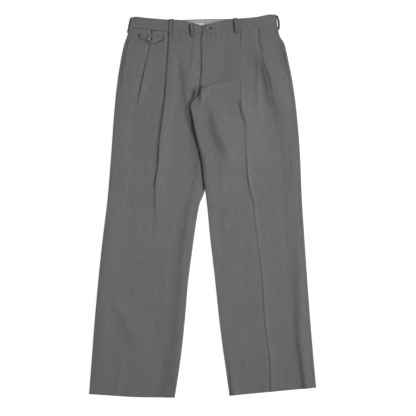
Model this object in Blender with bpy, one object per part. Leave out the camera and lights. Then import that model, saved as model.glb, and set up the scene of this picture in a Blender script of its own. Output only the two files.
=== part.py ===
"""Pleated dress trousers, lying flat with the front up.

Units are metres. X runs across the garment from the wearer's right leg (negative) to the
left one, Y runs from the hems to the waist, and Z is up from the surface at z = 0.
"out" is a distance from the centre line towards the side of a leg, so both legs share
the same functions. A section is one level cut through a panel, drawn in out and z.
"""

import math

import bmesh
import bpy
import numpy as np
from mathutils import Matrix, Vector

# ---------------------------------------------------------------- driving dimensions
CLOTH = 0.0010  # suiting, one layer
BAND_CLOTH = 0.0016  # waistband, folded over its canvas
SEAM_GAP = 0.0003
BACK_MID = CLOTH / 2  # middle of the back cloth, lying on the surface
FOLD_RADIUS = 0.00075  # tightest turn of the cloth, at its middle
FRONT_MID = BACK_MID + 2 * FOLD_RADIUS  # lowest the front cloth lies
SIDE_RADIUS = 0.0022  # roll of the cloth round the side of a leg
SIDE_STRIP = 0.009  # back cloth that shows between the side seam and the edge
EDGE_RISE = BACK_MID + 2 * SIDE_RADIUS - FRONT_MID  # front cloth above its lowest
CURL_RADIUS = 0.00105  # roll of the left leg's inner edge, above and below its seam
CURL_GAP = 0.0005  # between the two rolled edges, whose ends are cut square to their last step
PUFF = 0.0010  # slack of the front cloth across a leg
POCKET_LIP = 0.0010  # the front's edge above the side, along a pocket's mouth
SHORTEST_STEP = 0.0008  # smallest step of a section where it has nothing to turn

BACK_SEAM_LOW = 0.4905  # waist seam at the centre back, and how it rises to the sides
BACK_SEAM_TILT = 0.0117
BACK_SEAM_BEND = 0.335  # in 1/m
SEAM_ROW = 0.492  # names of the top and bottom rows of a panel, at their mean heights
HEM_ROW = -0.520
SEAM_REACH = 0.380  # rows above this bend towards the waist seam
HEM_REACH = -0.150  # rows below this bend towards the hem
CENTRE_BACK = 0.004  # x of the seam up the middle of the back

BAND_FRONT_MID = 0.0053
BAND_BACK_MID = BAND_CLOTH / 2
BAND_LAP = 0.0019  # left end of the band above the right one
BAND_LAP_FULL = 0.030  # the left end is level as far as this, and down again at BAND_LAP_FOOT
BAND_LAP_FOOT = 0.055
BAND_START = 0.0005  # x of the left end
LAP_END = 0.014  # how far the right front runs on under the left one
FLY_LIFT = 0.0015
FLY_GAPE = 0.0017  # the fly edge stands open by this above the crotch
FLY_FOOT = 0.345  # the left front's centre edge is cut square above this
CURL_TOP = 0.300  # and fully rolled over below this
CROSSING = 0.0033  # left leg above the surface where it lies on the right one
CROSSING_FOOT = 0.028  # the left leg comes down from here
CROSSING_END = -0.030  # to here
CROTCH = 0.288
FOLD_OVER = 0.014  # height over which the back's inner edge folds over below the crotch

LINING = 0.0010
LINING_END = 0.125  # out, beyond which the band's front hides it
LINING_DROPS = (0.0012, 0.015, 0.030)  # its rows, down from the back's top edge
LABEL = 0.0006
LABEL_SIZE = (0.025, 0.022)
LABEL_TOP = 0.510
LABEL_OUT = 0.0101

LOOP_WIDTH = 0.011
LOOP_CLOTH = 0.0012
LOOP_BOW = 0.0012
FLAP_CLOTH = 0.0015
FLAP_CORNER = 0.004
BUTTON_RADIUS = 0.0075
BUTTON_THICK = 0.003
BUTTON_HOLE = 0.0009
BUTTON_HOLE_OUT = 0.0017

SIDES = {"right": -1, "left": 1}
BACK_CENTRE = {leg: sign * CENTRE_BACK + SEAM_GAP / 2 for leg, sign in SIDES.items()}

CLOTH_GREY = (0.150, 0.152, 0.156)
LINING_GREY = (0.52, 0.53, 0.58)
LABEL_WHITE = (0.86, 0.86, 0.86)
HORN_BROWN = (0.16, 0.09, 0.04)


# ---------------------------------------------------------------- tables of sizes
def table(columns, *rows):
    """Sizes as one array for each named column; the first column is the place."""
    order = sorted(rows)
    return dict(zip(columns.split(), np.array(order, float).T))


def read(sizes, column, place):
    """A column's value at a place: a smooth curve through the rows, with no overshoot."""
    places, values = next(iter(sizes.values())), sizes[column]
    slopes = np.diff(values) / np.diff(places)
    before, after = slopes[:-1], slopes[1:]
    total = np.where(before + after == 0, 1, before + after)
    inner = np.where(before * after > 0, 2 * before * after / total, 0)
    slope = np.concatenate([slopes[:1], inner, slopes[-1:]])
    place = np.clip(place, places[0], places[-1])
    i = np.clip(np.searchsorted(places, place) - 1, 0, len(places) - 2)
    width = places[i + 1] - places[i]
    t = (place - places[i]) / width
    rise = (
        (1 + 2 * t) * (1 - t) ** 2 * values[i]
        + t * t * (3 - 2 * t) * values[i + 1]
        + t * (1 - t) ** 2 * width * slope[i]
        - t * t * (1 - t) * width * slope[i + 1]
    )
    return rise


SIDE_EDGE = {
    "right": table(
        "y out",
        (0.4995, 0.2050), (0.476, 0.2112), (0.4536, 0.2192), (0.4088, 0.2289),
        (0.3416, 0.2393), (0.252, 0.2482), (0.140, 0.2563), (0.028, 0.2653),
        (-0.084, 0.2787), (-0.196, 0.2908), (-0.308, 0.3011), (-0.420, 0.3098),
        (-0.5264, 0.3180),
    ),
    "left": table(
        "y out",
        (0.5054, 0.2090), (0.476, 0.2155), (0.4536, 0.2286), (0.4088, 0.2395),
        (0.3416, 0.2527), (0.252, 0.2642), (0.140, 0.2729), (0.028, 0.2776),
        (-0.084, 0.2846), (-0.196, 0.2922), (-0.308, 0.3006), (-0.420, 0.3098),
        (-0.5082, 0.3180),
    ),
}

# Inner edge of each leg. The right one runs on, hidden, under the left leg.
INNER_EDGE = {
    "right": table(
        "y out",
        (0.288, -0.004), (0.280, -0.006), (0.262, -0.014), (0.238, -0.021),
        (0.198, -0.024), (0.140, -0.022), (0.090, -0.016), (0.056, -0.009),
        (0.028, -0.001), (0.0056, 0.0083), (-0.017, 0.013), (-0.062, 0.0203),
        (-0.129, 0.0295), (-0.218, 0.0410), (-0.308, 0.0486), (-0.398, 0.0578),
        (-0.465, 0.0668), (-0.535, 0.0777),
    ),
    "left": table(
        "y out",
        (0.2806, -0.0371), (0.2408, -0.0288), (0.196, -0.0205), (0.151, -0.0100),
        (0.106, -0.0020), (0.0616, 0.0042), (0.0056, 0.0119), (-0.084, 0.0206),
        (-0.196, 0.0335), (-0.308, 0.0452), (-0.398, 0.0564), (-0.465, 0.0660),
        (-0.5306, 0.0750),
    ),
}

# Centre edge of each front: the fly, then the crotch seam, then the inseam.
FRONT_EDGE = {
    "right": table(
        "y out",
        (0.505, -LAP_END), (0.345, -LAP_END), (0.318, -0.006), (0.302, -0.001),
        (0.281, -0.0005), (0.262, 0.002), (0.205, 0.009), (0.124, 0.0167),
        (0.082, 0.0214), (0.026, 0.0307), (-0.030, 0.0402), (-0.081, 0.0447),
        (-0.118, 0.0542), (-0.230, 0.0634), (-0.347, 0.0730), (-0.459, 0.0858),
        (-0.535, 0.0928),
    ),
    "left": table(
        "y out",
        (0.505, 0.0004), (0.400, -0.0018), (0.335, -0.0038), (0.318, -0.0115),
        (0.302, -0.0225), (0.2806, -0.0371), (0.2408, -0.0288), (0.196, -0.0205),
        (0.151, -0.0100), (0.106, -0.0020), (0.0616, 0.0042), (0.0056, 0.0119),
        (-0.084, 0.0206), (-0.196, 0.0335), (-0.308, 0.0452), (-0.398, 0.0564),
        (-0.465, 0.0660), (-0.5306, 0.0750),
    ),
}

# Centre edge of each back above the crotch, then the leg's inner edge.
BACK_EDGE = {
    "right": table(
        "y out",
        (0.505, BACK_CENTRE["right"]), (CROTCH, BACK_CENTRE["right"]),
        *zip(INNER_EDGE["right"]["y"][:-1], INNER_EDGE["right"]["out"][:-1]),
    ),
    "left": table(
        "y out",
        (0.505, BACK_CENTRE["left"]), (CROTCH, BACK_CENTRE["left"]),
        (0.281, -0.022), (0.274, -0.0355),
        *zip(INNER_EDGE["left"]["y"][:-1], INNER_EDGE["left"]["out"][:-1]),
    ),
}

# Roll of the right leg's inner edge: flat where the left leg lies on it.
RIGHT_ROLL = table(
    "y radius",
    (0.300, FOLD_RADIUS), (0.050, FOLD_RADIUS), (0.010, 0.0011),
    (-0.060, 0.0020), (-0.535, SIDE_RADIUS),
)

HEM = {
    "right": table("out y", (0.0786, -0.5360), (0.158, -0.5356), (0.3177, -0.5264)),
    "left": table("out y", (0.0752, -0.5312), (0.196, -0.5197), (0.3174, -0.5082)),
}

FRONT_SEAM = table(
    "x y",
    (-0.210, 0.5032), (-0.1838, 0.4970), (-0.1623, 0.4942), (-0.1306, 0.4908),
    (-0.097, 0.4886), (-0.0382, 0.4866), (0.0, 0.4840), (0.0374, 0.4838),
    (0.071, 0.4886), (0.1046, 0.4936), (0.1494, 0.4990), (0.183, 0.5026),
    (0.212, 0.5058),
)
FRONT_TOP = table(
    "x y",
    (-0.205, 0.5265), (-0.1866, 0.5298), (-0.1642, 0.5272), (-0.1306, 0.5242),
    (-0.097, 0.5219), (-0.0746, 0.5214), (-0.0578, 0.5200), (-0.0354, 0.5152),
    (-0.0186, 0.5102), (-0.0018, 0.5053), (0.0206, 0.5102), (0.0374, 0.5146),
    (0.0599, 0.5197), (0.0822, 0.5236), (0.1158, 0.5256), (0.1494, 0.5286),
    (0.1718, 0.5331), (0.1886, 0.5360), (0.2026, 0.5355), (0.212, 0.5330),
)
BACK_TOP = table(
    "x y",
    (-0.205, 0.5265), (-0.150, 0.5225), (-0.100, 0.5203), (-0.060, 0.5210),
    (0.0, 0.5228), (0.060, 0.5235), (0.116, 0.5245), (0.160, 0.5285),
    (0.2054, 0.5350), (0.212, 0.5330),
)
BAND_SIDE = {
    "right": table("share out", (0, 0.2052), (1, 0.1992)),
    "left": table("share out", (0, 0.2090), (1, 0.2060)),
}

# Reverse pleats: each fold's edge faces its own side, and lower down turns into a crease.
#   y      height of the row            out    the fold's edge
#   turn   how far the cloth turns back, in degrees
#   under  hidden length between the two turns
#   lift   lower layer above its lowest
#   near   width over which the cloth climbs to the fold from the centre
#   far    width over which it recovers beyond the fold
PLEAT_COLUMNS = "y out turn under lift near far"
PLEATS = {
    "right": [
        table(
            PLEAT_COLUMNS,
            (0.505, 0.0946, 180, 0.0180, 0.0000, 0.012, 0.010),
            (0.450, 0.0956, 180, 0.0160, 0.0000, 0.018, 0.012),
            (0.406, 0.0981, 180, 0.0130, 0.0000, 0.022, 0.014),
            (0.339, 0.1030, 178, 0.0100, 0.0000, 0.026, 0.018),
            (0.272, 0.1093, 176, 0.0080, 0.0000, 0.030, 0.022),
            (0.199, 0.1180, 174, 0.0060, 0.0000, 0.032, 0.024),
            (0.134, 0.1264, 165, 0.0030, 0.0000, 0.034, 0.024),
            (0.073, 0.1306, 110, 0.0015, 0.0002, 0.034, 0.026),
            (0.003, 0.1340, 60, 0.0012, 0.0005, 0.030, 0.030),
            (-0.081, 0.1376, 25, 0.0015, 0.0006, 0.030, 0.034),
            (-0.200, 0.1480, 8, 0.0015, 0.0008, 0.034, 0.036),
            (-0.535, 0.1880, 0, 0.0015, 0.0010, 0.036, 0.036),
        ),
        table(
            PLEAT_COLUMNS,
            (0.505, 0.1395, 180, 0.0140, 0.0000, 0.010, 0.010),
            (0.4536, 0.1460, 180, 0.0120, 0.0000, 0.014, 0.012),
            (0.4088, 0.1544, 178, 0.0090, 0.0000, 0.018, 0.014),
            (0.361, 0.1642, 172, 0.0050, 0.0000, 0.020, 0.016),
            (0.316, 0.1726, 120, 0.0012, 0.0002, 0.020, 0.018),
            (0.288, 0.1768, 70, 0.0013, 0.0005, 0.022, 0.020),
            (0.250, 0.1815, 30, 0.0015, 0.0008, 0.024, 0.020),
            (0.150, 0.1900, 8, 0.0015, 0.0010, 0.024, 0.020),
            (-0.535, 0.2500, 0, 0.0015, 0.0010, 0.024, 0.020),
        ),
    ],
    "left": [
        table(
            PLEAT_COLUMNS,
            (0.505, 0.1050, 180, 0.0180, 0.0000, 0.012, 0.010),
            (0.409, 0.1035, 180, 0.0140, 0.0000, 0.020, 0.014),
            (0.325, 0.1040, 178, 0.0100, 0.0000, 0.026, 0.016),
            (0.274, 0.1062, 172, 0.0060, 0.0000, 0.028, 0.018),
            (0.241, 0.1140, 140, 0.0015, 0.0002, 0.028, 0.020),
            (0.199, 0.1208, 90, 0.0012, 0.0006, 0.022, 0.026),
            (0.157, 0.1236, 40, 0.0012, 0.0014, 0.014, 0.034),
            (0.115, 0.1278, 10, 0.0012, 0.0020, 0.010, 0.040),
            (0.059, 0.1340, 0, 0.0012, 0.0022, 0.008, 0.042),
            (-0.076, 0.1494, 0, 0.0012, 0.0022, 0.008, 0.044),
            (-0.263, 0.1698, 0, 0.0012, 0.0022, 0.008, 0.044),
            (-0.535, 0.1946, 0, 0.0012, 0.0022, 0.008, 0.044),
        ),
        table(
            PLEAT_COLUMNS,
            (0.510, 0.1490, 180, 0.0140, 0.0000, 0.010, 0.010),
            (0.4648, 0.1522, 180, 0.0120, 0.0000, 0.014, 0.012),
            (0.4312, 0.1606, 178, 0.0090, 0.0000, 0.016, 0.014),
            (0.392, 0.1704, 174, 0.0060, 0.0000, 0.020, 0.018),
            (0.3388, 0.1830, 165, 0.0030, 0.0000, 0.022, 0.020),
            (0.294, 0.1914, 100, 0.0015, 0.0002, 0.024, 0.020),
            (0.2548, 0.1970, 50, 0.0015, 0.0006, 0.026, 0.020),
            (0.200, 0.2020, 20, 0.0015, 0.0008, 0.026, 0.022),
            (0.100, 0.2080, 6, 0.0015, 0.0010, 0.026, 0.022),
            (-0.535, 0.2550, 0, 0.0015, 0.0010, 0.024, 0.022),
        ),
    ],
}

# Soft hollows (negative height) and ridges of the front cloth, each along a line of x, y.
SOFT_FOLDS = [
    {"height": -0.0010, "width": 0.013, "line": [(-0.072, 0.455), (-0.049, 0.372), (-0.035, 0.318)]},
    {"height": 0.0009, "width": 0.012, "line": [(-0.050, 0.445), (-0.034, 0.390), (-0.022, 0.330)]},
    {"height": -0.0010, "width": 0.018, "line": [(-0.060, 0.320), (-0.054, 0.200), (-0.052, 0.140)]},
    {"height": -0.0010, "width": 0.016, "line": [(0.030, 0.230), (0.046, 0.165), (0.068, 0.120)]},
    {"height": -0.0008, "width": 0.018, "line": [(0.072, 0.110), (0.062, 0.030), (0.049, -0.048)]},
    {"height": -0.0007, "width": 0.012, "line": [(0.152, 0.440), (0.153, 0.350), (0.152, 0.270)]},
    {"height": -0.0010, "width": 0.018, "line": [(-0.265, -0.240), (-0.223, -0.333), (-0.189, -0.410)]},
    {"height": -0.0008, "width": 0.016, "line": [(0.263, -0.110), (0.267, -0.250), (0.266, -0.420)]},
    {"height": -0.0012, "width": 0.016, "line": [(0.234, -0.335), (0.264, -0.431), (0.286, -0.530)]},
]

# Belt loops on the front of the band: y of the upper end, and how far it runs below the seam.
FRONT_LOOPS = [
    {"name": "belt_loop_front_right", "leg": "right", "out": 0.0880, "above": 0.0015, "below": 0.009},
    {"name": "belt_loop_fly", "leg": "right", "out": 0.0293, "above": -0.0050, "below": 0.012},
    {"name": "belt_loop_front_left", "leg": "left", "out": 0.0962, "above": 0.0015, "below": 0.009},
]
# Belt loops round the side of the band, standing on edge: bow is its middle off the band.
SIDE_LOOPS = [
    {"leg": "right", "top": 0.5270, "bottom": 0.4850, "bow": 0.0, "lean": 14},
    {"leg": "left", "top": 0.5325, "bottom": 0.4930, "bow": 0.0057, "lean": 2},
]
# Belt loops on the back of the band, between it and the surface.
BACK_LOOP_OUT = {"right": 0.085, "left": 0.093}

# Watch-pocket flap on the right front, along out.
FLAP_TOP = table("out y", (0.1068, 0.4757), (0.1420, 0.4797), (0.1785, 0.4838))
FLAP_BOTTOM = table("out y", (0.1068, 0.4648), (0.1432, 0.4528), (0.1785, 0.4698))
WATCH_BUTTON = (-0.1463, 0.4668)
WAIST_BUTTON = (0.0167, 0.4970)

# ---------------------------------------------------------------- steps of the grids
PANEL_ROWS = (
    SEAM_ROW, 0.470, 0.445, 0.420, 0.392, 0.362, 0.335, 0.318, 0.302, 0.295, CROTCH,
    0.281, 0.274, 0.262, 0.235, 0.205, 0.170, 0.130, 0.090, 0.055, 0.028,
    -0.005, -0.050, -0.120, -0.205, -0.290, -0.370, -0.450, HEM_ROW,
)
FRONT_STEPS = {
    "curl": 2, "level": 2, "slope": 3, "centre": 1, "climb": 2, "turn": 3, "between": 3, "side": 4,
}
BACK_STEPS = {"side": 4, "floor": 5, "slope": 3, "level": 2, "turn": 3}
BAND_STEPS = {"rows": 2, "lap": 4, "front": 8, "turn": 6, "back": 4}


# ---------------------------------------------------------------- small helpers
def ramp(start, end, value):
    """0 at start and 1 at end, smooth between; start may be the larger."""
    t = np.clip((value - start) / (end - start), 0, 1)
    return t * t * (3 - 2 * t)


def mix(first, second, share):
    return first + (second - first) * share


def spread(start, end, steps):
    """Evenly spaced places after start, up to end."""
    return list(np.linspace(start, end, steps + 1)[1:])


class Pen:
    """Draws a section as straight runs and arcs, from a place and a heading."""

    def __init__(self, out, z, heading=0.0):
        self.points = [(out, z)]
        self.heading = heading

    def move(self, length):
        out, z = self.points[-1]
        self.points.append((out + length * math.cos(self.heading), z + length * math.sin(self.heading)))

    def turn(self, angle, radius, steps):
        """Turn left by an angle, or right if it is negative."""
        length = max(radius * abs(angle), steps * SHORTEST_STEP * (1 - abs(angle)))
        step = angle / steps
        chord = length / steps * (math.sin(step / 2) / (step / 2) if abs(step) > 1e-6 else 1)
        for _ in range(steps):
            self.heading += step / 2
            self.move(chord)
            self.heading += step / 2


# ---------------------------------------------------------------- where the cloth lies
def waist_seam(x, back):
    """The waist seam's y on the front, on the back, or between them round the side."""
    behind = BACK_SEAM_LOW + BACK_SEAM_TILT * x + BACK_SEAM_BEND * x * x
    return mix(read(FRONT_SEAM, "y", x), behind, back)


def row_height(leg, out, row, back=0.0):
    """The y of a panel's row; the top row follows the waist seam and the last one the hem."""
    seam = waist_seam(SIDES[leg] * out, back) - SEAM_GAP / 2
    to_seam = ramp(SEAM_REACH, SEAM_ROW, row) * (seam - SEAM_ROW)
    to_hem = ramp(HEM_REACH, HEM_ROW, row) * (read(HEM[leg], "y", out) - HEM_ROW)
    return row + to_seam + to_hem


def edge_at(leg, row, sizes, back=0.0):
    """Where an edge crosses a row: its out and y."""
    y = row
    for _ in range(3):
        out = float(read(sizes, "out", y))
        y = float(row_height(leg, out, row, back))
    return out, y


def crossing_lift(x, y, begins, settled):
    """How far the left leg is raised where it lies on the right one."""
    edge = -read(INNER_EDGE["right"], "out", y)
    across = 1 - ramp(edge + 0.002, edge + 0.027, x)
    along = ramp(begins, settled, y) * ramp(CROSSING_END, CROSSING_FOOT, y)
    return CROSSING * across * along


def slope_places(leg, y, first):
    """Where the raised stretch beside the centre edge ends, and where its slope does."""
    if leg == "right":
        return first + 0.010, first + 0.035
    over_leg = -float(read(INNER_EDGE["right"], "out", y)) + 0.003
    level = max(first + 0.002, float(mix(over_leg, 0.016, ramp(CURL_TOP, FLY_FOOT, y))))
    return level, level + 0.028


def fly_lift(x, y):
    """How far the left front is raised where it laps over the right one."""
    lap = (FLY_LIFT + 0.0004 * ramp(0.44, 0.49, y)) * (1 - ramp(0.016, 0.045, x))
    gape = FLY_GAPE * ramp(0.440, 0.400, y) * (1 - ramp(0.004, 0.022, x))
    return lap + gape


def ground(leg, out, y):
    """The lowest that the front cloth lies."""
    if leg == "right":
        return FRONT_MID + 0 * out
    over_leg = crossing_lift(out, y, FLY_FOOT, CURL_TOP)
    return FRONT_MID + np.maximum(over_leg, fly_lift(out, y) * ramp(0.270, 0.310, y))


def covered(x, y):
    """1 where the right leg is pressed flat under the left one, 0 in the open."""
    edge = read(FRONT_EDGE["left"], "out", y)
    return ramp(edge - 0.016, edge - 0.004, x) * ramp(0.010, 0.050, y)


def soft_folds(x, y):
    """Height of the soft hollows and ridges: round across, and fading along each line."""
    total = np.zeros(np.shape(x))
    for fold in SOFT_FOLDS:
        line = np.array(fold["line"])
        lengths = np.linalg.norm(np.diff(line, axis=0), axis=1)
        best = np.full(np.shape(x), np.inf)
        share = np.zeros(np.shape(x))
        for k, (start, way) in enumerate(zip(line[:-1], np.diff(line, axis=0))):
            t = np.clip(((x - start[0]) * way[0] + (y - start[1]) * way[1]) / lengths[k] ** 2, 0, 1)
            gap = np.hypot(x - start[0] - t * way[0], y - start[1] - t * way[1])
            along = (lengths[:k].sum() + t * lengths[k]) / lengths.sum()
            share = np.where(gap < best, along, share)
            best = np.minimum(gap, best)
        fade = np.sin(math.pi * np.clip(share * 0.9 + 0.05, 0, 1))
        total += fold["height"] * fade * np.exp(-((best / fold["width"]) ** 2))
    return total


def rest_height(leg, out, y):
    """Height of the front cloth away from its pleats."""
    x = SIDES[leg] * out
    side = read(SIDE_EDGE[leg], "out", y) - SIDE_STRIP
    inner = read(FRONT_EDGE[leg], "out", y)
    waist = ramp(0.405, 0.485, y)
    by_side = ramp(side - 0.040, side, out)
    if leg == "right":
        roll = (read(RIGHT_ROLL, "radius", y) - FOLD_RADIUS) * 2 / EDGE_RISE
    else:
        curl = 2 * CURL_RADIUS + CURL_GAP - 2 * FOLD_RADIUS
        roll = curl / EDGE_RISE * ramp(FLY_FOOT, CURL_TOP, y)
    by_inner = roll * (1 - ramp(inner, inner + 0.035, out))
    rise = EDGE_RISE * (1 - (1 - waist) * (1 - by_side) * (1 - by_inner))
    middle = np.clip((out - inner) / (side - inner), 0, 1)
    slack = 4 * middle * (1 - middle) * PUFF + soft_folds(x, y)
    if leg == "right":
        slack = slack * (1 - covered(x, y))
    mouth = ramp(0.335, 0.350, y) * ramp(0.462, 0.450, y)
    pocket = POCKET_LIP * ramp(side - 0.016, side - 0.002, out) * mouth
    lowest = ground(leg, out, y)
    return np.maximum(lowest + rise + slack, lowest) + pocket


def pleat_at(leg, row, sizes):
    """One pleat's turn at a row, and the heights and widths that lead to and from it."""
    edge, y = edge_at(leg, row, sizes)
    now = {name: float(read(sizes, name, y)) for name in PLEAT_COLUMNS.split()[1:]}
    pen = Pen(0, 0)
    angle = math.radians(now["turn"])
    pen.turn(-angle, FOLD_RADIUS, FRONT_STEPS["turn"])
    crest = max(out for out, z in pen.points)
    pen.move(now["under"])
    pen.turn(angle, FOLD_RADIUS, FRONT_STEPS["turn"])
    path = np.array(pen.points)
    low = float(ground(leg, edge, y)) + now["lift"]
    high = low - path[-1, 1]
    path = path + (edge - crest, high)
    inmost = path[:, 0].min() - 0.0010
    outmost = max(edge, path[-1, 0]) + 0.0010
    return {
        "path": path,
        "low": low,
        "high": high,
        "climb": (inmost - now["near"], inmost),
        "fall": (outmost, outmost + now["far"]),
    }


def layer_height(leg, out, y, before=None, after=None):
    """Height of the cloth between the pleat nearer the centre and the one nearer the side."""
    z = rest_height(leg, out, y)
    if before:
        z = mix(before["low"], z, ramp(*before["fall"], out))
    if after:
        z = mix(z, after["high"], ramp(*after["climb"], out))
    return z


def front_section(leg, row):
    """The front panel at a row: centre edge, two pleats, side seam."""
    inner, y_inner = edge_at(leg, row, FRONT_EDGE[leg])
    side = edge_at(leg, row, SIDE_EDGE[leg])[0] - SIDE_STRIP - SEAM_GAP / 2
    main, second = (pleat_at(leg, row, sizes) for sizes in PLEATS[leg])
    steps = FRONT_STEPS

    curl = math.pi / 2 * float(ramp(FLY_FOOT, CURL_TOP, row)) if leg == "left" else 0
    start = inner + (SEAM_GAP / 2 if leg == "right" else CLOTH / 2 * math.sin(curl))
    pen = Pen(start, 0, curl)
    pen.turn(-curl, CURL_RADIUS, steps["curl"])
    top_out, top_z = pen.points[-1]
    height = layer_height(leg, top_out, y_inner, after=main)
    section = [(out, z - top_z + height) for out, z in pen.points]

    def lay(outs, before=None, after=None):
        outs = np.array(outs)
        z = layer_height(leg, outs, row_height(leg, outs, row), before, after)
        section.extend(zip(outs, z))

    level, foot = slope_places(leg, y_inner, top_out)
    lay(spread(top_out, level, steps["level"]), after=main)
    lay(spread(level, foot, steps["slope"]), after=main)
    lay(spread(foot, main["climb"][0], steps["centre"]), after=main)
    lay(spread(*main["climb"], steps["climb"]), after=main)
    section.extend(main["path"])
    lay([main["fall"][0]], main, second)
    lay(spread(main["fall"][0], second["climb"][1], steps["between"]), main, second)
    section.extend(second["path"])
    lay([second["fall"][0]], second)
    lay(spread(second["fall"][0], side, steps["side"]), second)
    section = np.array(section)
    return np.column_stack([section, np.zeros(len(section))])


def back_section(leg, row):
    """The back panel at a row: side seam, round the side, along the surface, inner edge."""
    steps = BACK_STEPS
    side = edge_at(leg, row, SIDE_EDGE[leg])[0] - CLOTH / 2
    inner, y_inner = edge_at(leg, row, BACK_EDGE[leg], back=1.0)
    pen = Pen(side + CLOTH / 2 - SIDE_STRIP + SEAM_GAP / 2, BACK_MID + 2 * SIDE_RADIUS)
    pen.move(SIDE_STRIP - CLOTH / 2 - SEAM_GAP / 2 - SIDE_RADIUS)
    pen.turn(-math.pi, SIDE_RADIUS, steps["side"])
    points = [(out, z, 0.0) for out, z in pen.points[:2]]
    points += [(out, z, (k + 1) / steps["side"]) for k, (out, z) in enumerate(pen.points[2:])]

    folded = min(max((CROTCH - row) / FOLD_OVER, 0), 1)
    if leg == "right":
        radius, angle = float(read(RIGHT_ROLL, "radius", y_inner)), math.pi * folded
    else:
        radius, angle = CURL_RADIUS, math.pi / 2 * folded
    flat = SHORTEST_STEP * (steps["turn"] + (leg == "right"))
    bend = inner + (radius + CLOTH / 2 if folded else flat)
    level, foot = slope_places(leg, y_inner, bend)
    outs = spread(points[-1][0], foot, steps["floor"])
    outs += spread(foot, level, steps["slope"]) + spread(level, bend, steps["level"])
    outs = np.array(outs)
    heights = np.full(len(outs), BACK_MID)
    if leg == "left":
        heights = heights + crossing_lift(outs, row_height(leg, outs, row, 1.0), CURL_TOP, CROTCH)
    points += [(out, z, 1.0) for out, z in zip(outs, heights)]

    pen = Pen(points[-1][0], points[-1][1], math.pi)
    pen.turn(-angle, radius, steps["turn"])
    if leg == "right":
        inseam = edge_at(leg, row, FRONT_EDGE[leg])[0] - SEAM_GAP / 2
        pen.move(inseam - pen.points[-1][0] if folded == 1 else SHORTEST_STEP)
    points += [(out, z, 1.0) for out, z in pen.points[1:]]
    return np.array(points)


def back_band_lift(leg, out):
    """The back of the band rises over the loop that lies between it and the surface."""
    gap = np.abs(out - BACK_LOOP_OUT[leg])
    return (LOOP_CLOTH + SEAM_GAP) * (1 - ramp(LOOP_WIDTH / 2 + 0.001, LOOP_WIDTH / 2 + 0.009, gap))


def back_band_places(leg, start, end):
    """Places along the back of the band, with the rise over its loop between four of them."""
    middle = BACK_LOOP_OUT[leg]
    half = LOOP_WIDTH / 2
    rise = [middle + step for step in (half + 0.009, half + 0.005, half + 0.001)]
    fall = [2 * middle - place for place in reversed(rise)]
    steps = BAND_STEPS["back"]
    return spread(start, rise[0], steps) + rise[1:] + fall + spread(fall[-1], end, steps)


def band_section(leg, share):
    """The waistband at a share of its height: front, round the side, back."""
    steps = BAND_STEPS
    side = float(read(BAND_SIDE[leg], "out", share)) - BAND_CLOTH / 2
    radius = (BAND_FRONT_MID - BAND_BACK_MID) / 2
    start = -LAP_END if leg == "right" else BAND_START
    outs = [start] + spread(start, BAND_LAP_FOOT, steps["lap"])
    outs = np.array(outs + spread(BAND_LAP_FOOT, side - radius, steps["front"]))
    heights = np.full(len(outs), BAND_FRONT_MID)
    if leg == "left":
        heights = heights + BAND_LAP * (1 - ramp(BAND_LAP_FULL, BAND_LAP_FOOT, outs))
    points = [(out, z, 0.0) for out, z in zip(outs, heights)]
    pen = Pen(points[-1][0], points[-1][1])
    pen.turn(-math.pi, radius, steps["turn"])
    points += [(out, z, (k + 1) / steps["turn"]) for k, (out, z) in enumerate(pen.points[1:])]
    outs = np.array(back_band_places(leg, points[-1][0], BACK_CENTRE[leg]))
    points += [(out, z, 1.0) for out, z in zip(outs, BAND_BACK_MID + back_band_lift(leg, outs))]
    return np.array(points)


def band_height(leg, out, share, back):
    """The y of a place on the band, from the waist seam to its top edge."""
    x = SIDES[leg] * out
    top = mix(read(FRONT_TOP, "y", x), read(BACK_TOP, "y", x), back)
    return mix(waist_seam(x, back) + SEAM_GAP / 2, top, share)


# ---------------------------------------------------------------- making the solids
def offset(section, distance):
    """A section moved sideways, to its left, with its straight parts kept parallel."""
    ways = np.diff(section[:, :2], axis=0)
    ways /= np.linalg.norm(ways, axis=1)[:, None]
    normals = np.column_stack([-ways[:, 1], ways[:, 0]])
    before = np.vstack([normals[:1], normals])
    after = np.vstack([normals, normals[-1:]])
    middle = before + after
    middle /= np.linalg.norm(middle, axis=1)[:, None]
    reach = distance / np.maximum((middle * after).sum(axis=1), 0.6)
    return section[:, :2] + middle * reach[:, None]


def add_object(name, verts, faces, material):
    """One closed solid as a named object, its faces pointing out."""
    mesh = bpy.data.meshes.new(name)
    mesh.from_pydata([tuple(map(float, v)) for v in verts], [], faces)
    bm = bmesh.new()
    bm.from_mesh(mesh)
    bmesh.ops.recalc_face_normals(bm, faces=bm.faces)
    bm.to_mesh(mesh)
    bm.free()
    mesh.materials.append(material)
    mesh.shade_smooth()
    mesh.set_sharp_from_angle(angle=math.radians(40))
    thing = bpy.data.objects.new(name, mesh)
    bpy.context.scene.collection.objects.link(thing)
    return thing


def add_block_of_grids(name, upper, lower, material):
    """A solid between two grids of points with the same rows and columns."""
    rows, columns = upper.shape[:2]
    verts = np.concatenate([upper.reshape(-1, 3), lower.reshape(-1, 3)])
    below = rows * columns
    faces = []

    def quad(a, b, c, d):
        faces.extend([(a, b, c), (a, c, d)])

    for i in range(rows - 1):
        for j in range(columns - 1):
            a, b = i * columns + j, (i + 1) * columns + j
            quad(a, b, b + 1, a + 1)
            quad(below + a, below + b, below + b + 1, below + a + 1)
    rim = list(range(columns))
    rim += [i * columns + columns - 1 for i in range(1, rows)]
    rim += [(rows - 1) * columns + j for j in range(columns - 2, -1, -1)]
    rim += [i * columns for i in range(rows - 2, 0, -1)]
    for here, there in zip(rim, rim[1:] + rim[:1]):
        quad(here, there, below + there, below + here)
    return add_object(name, verts, faces, material)


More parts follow.
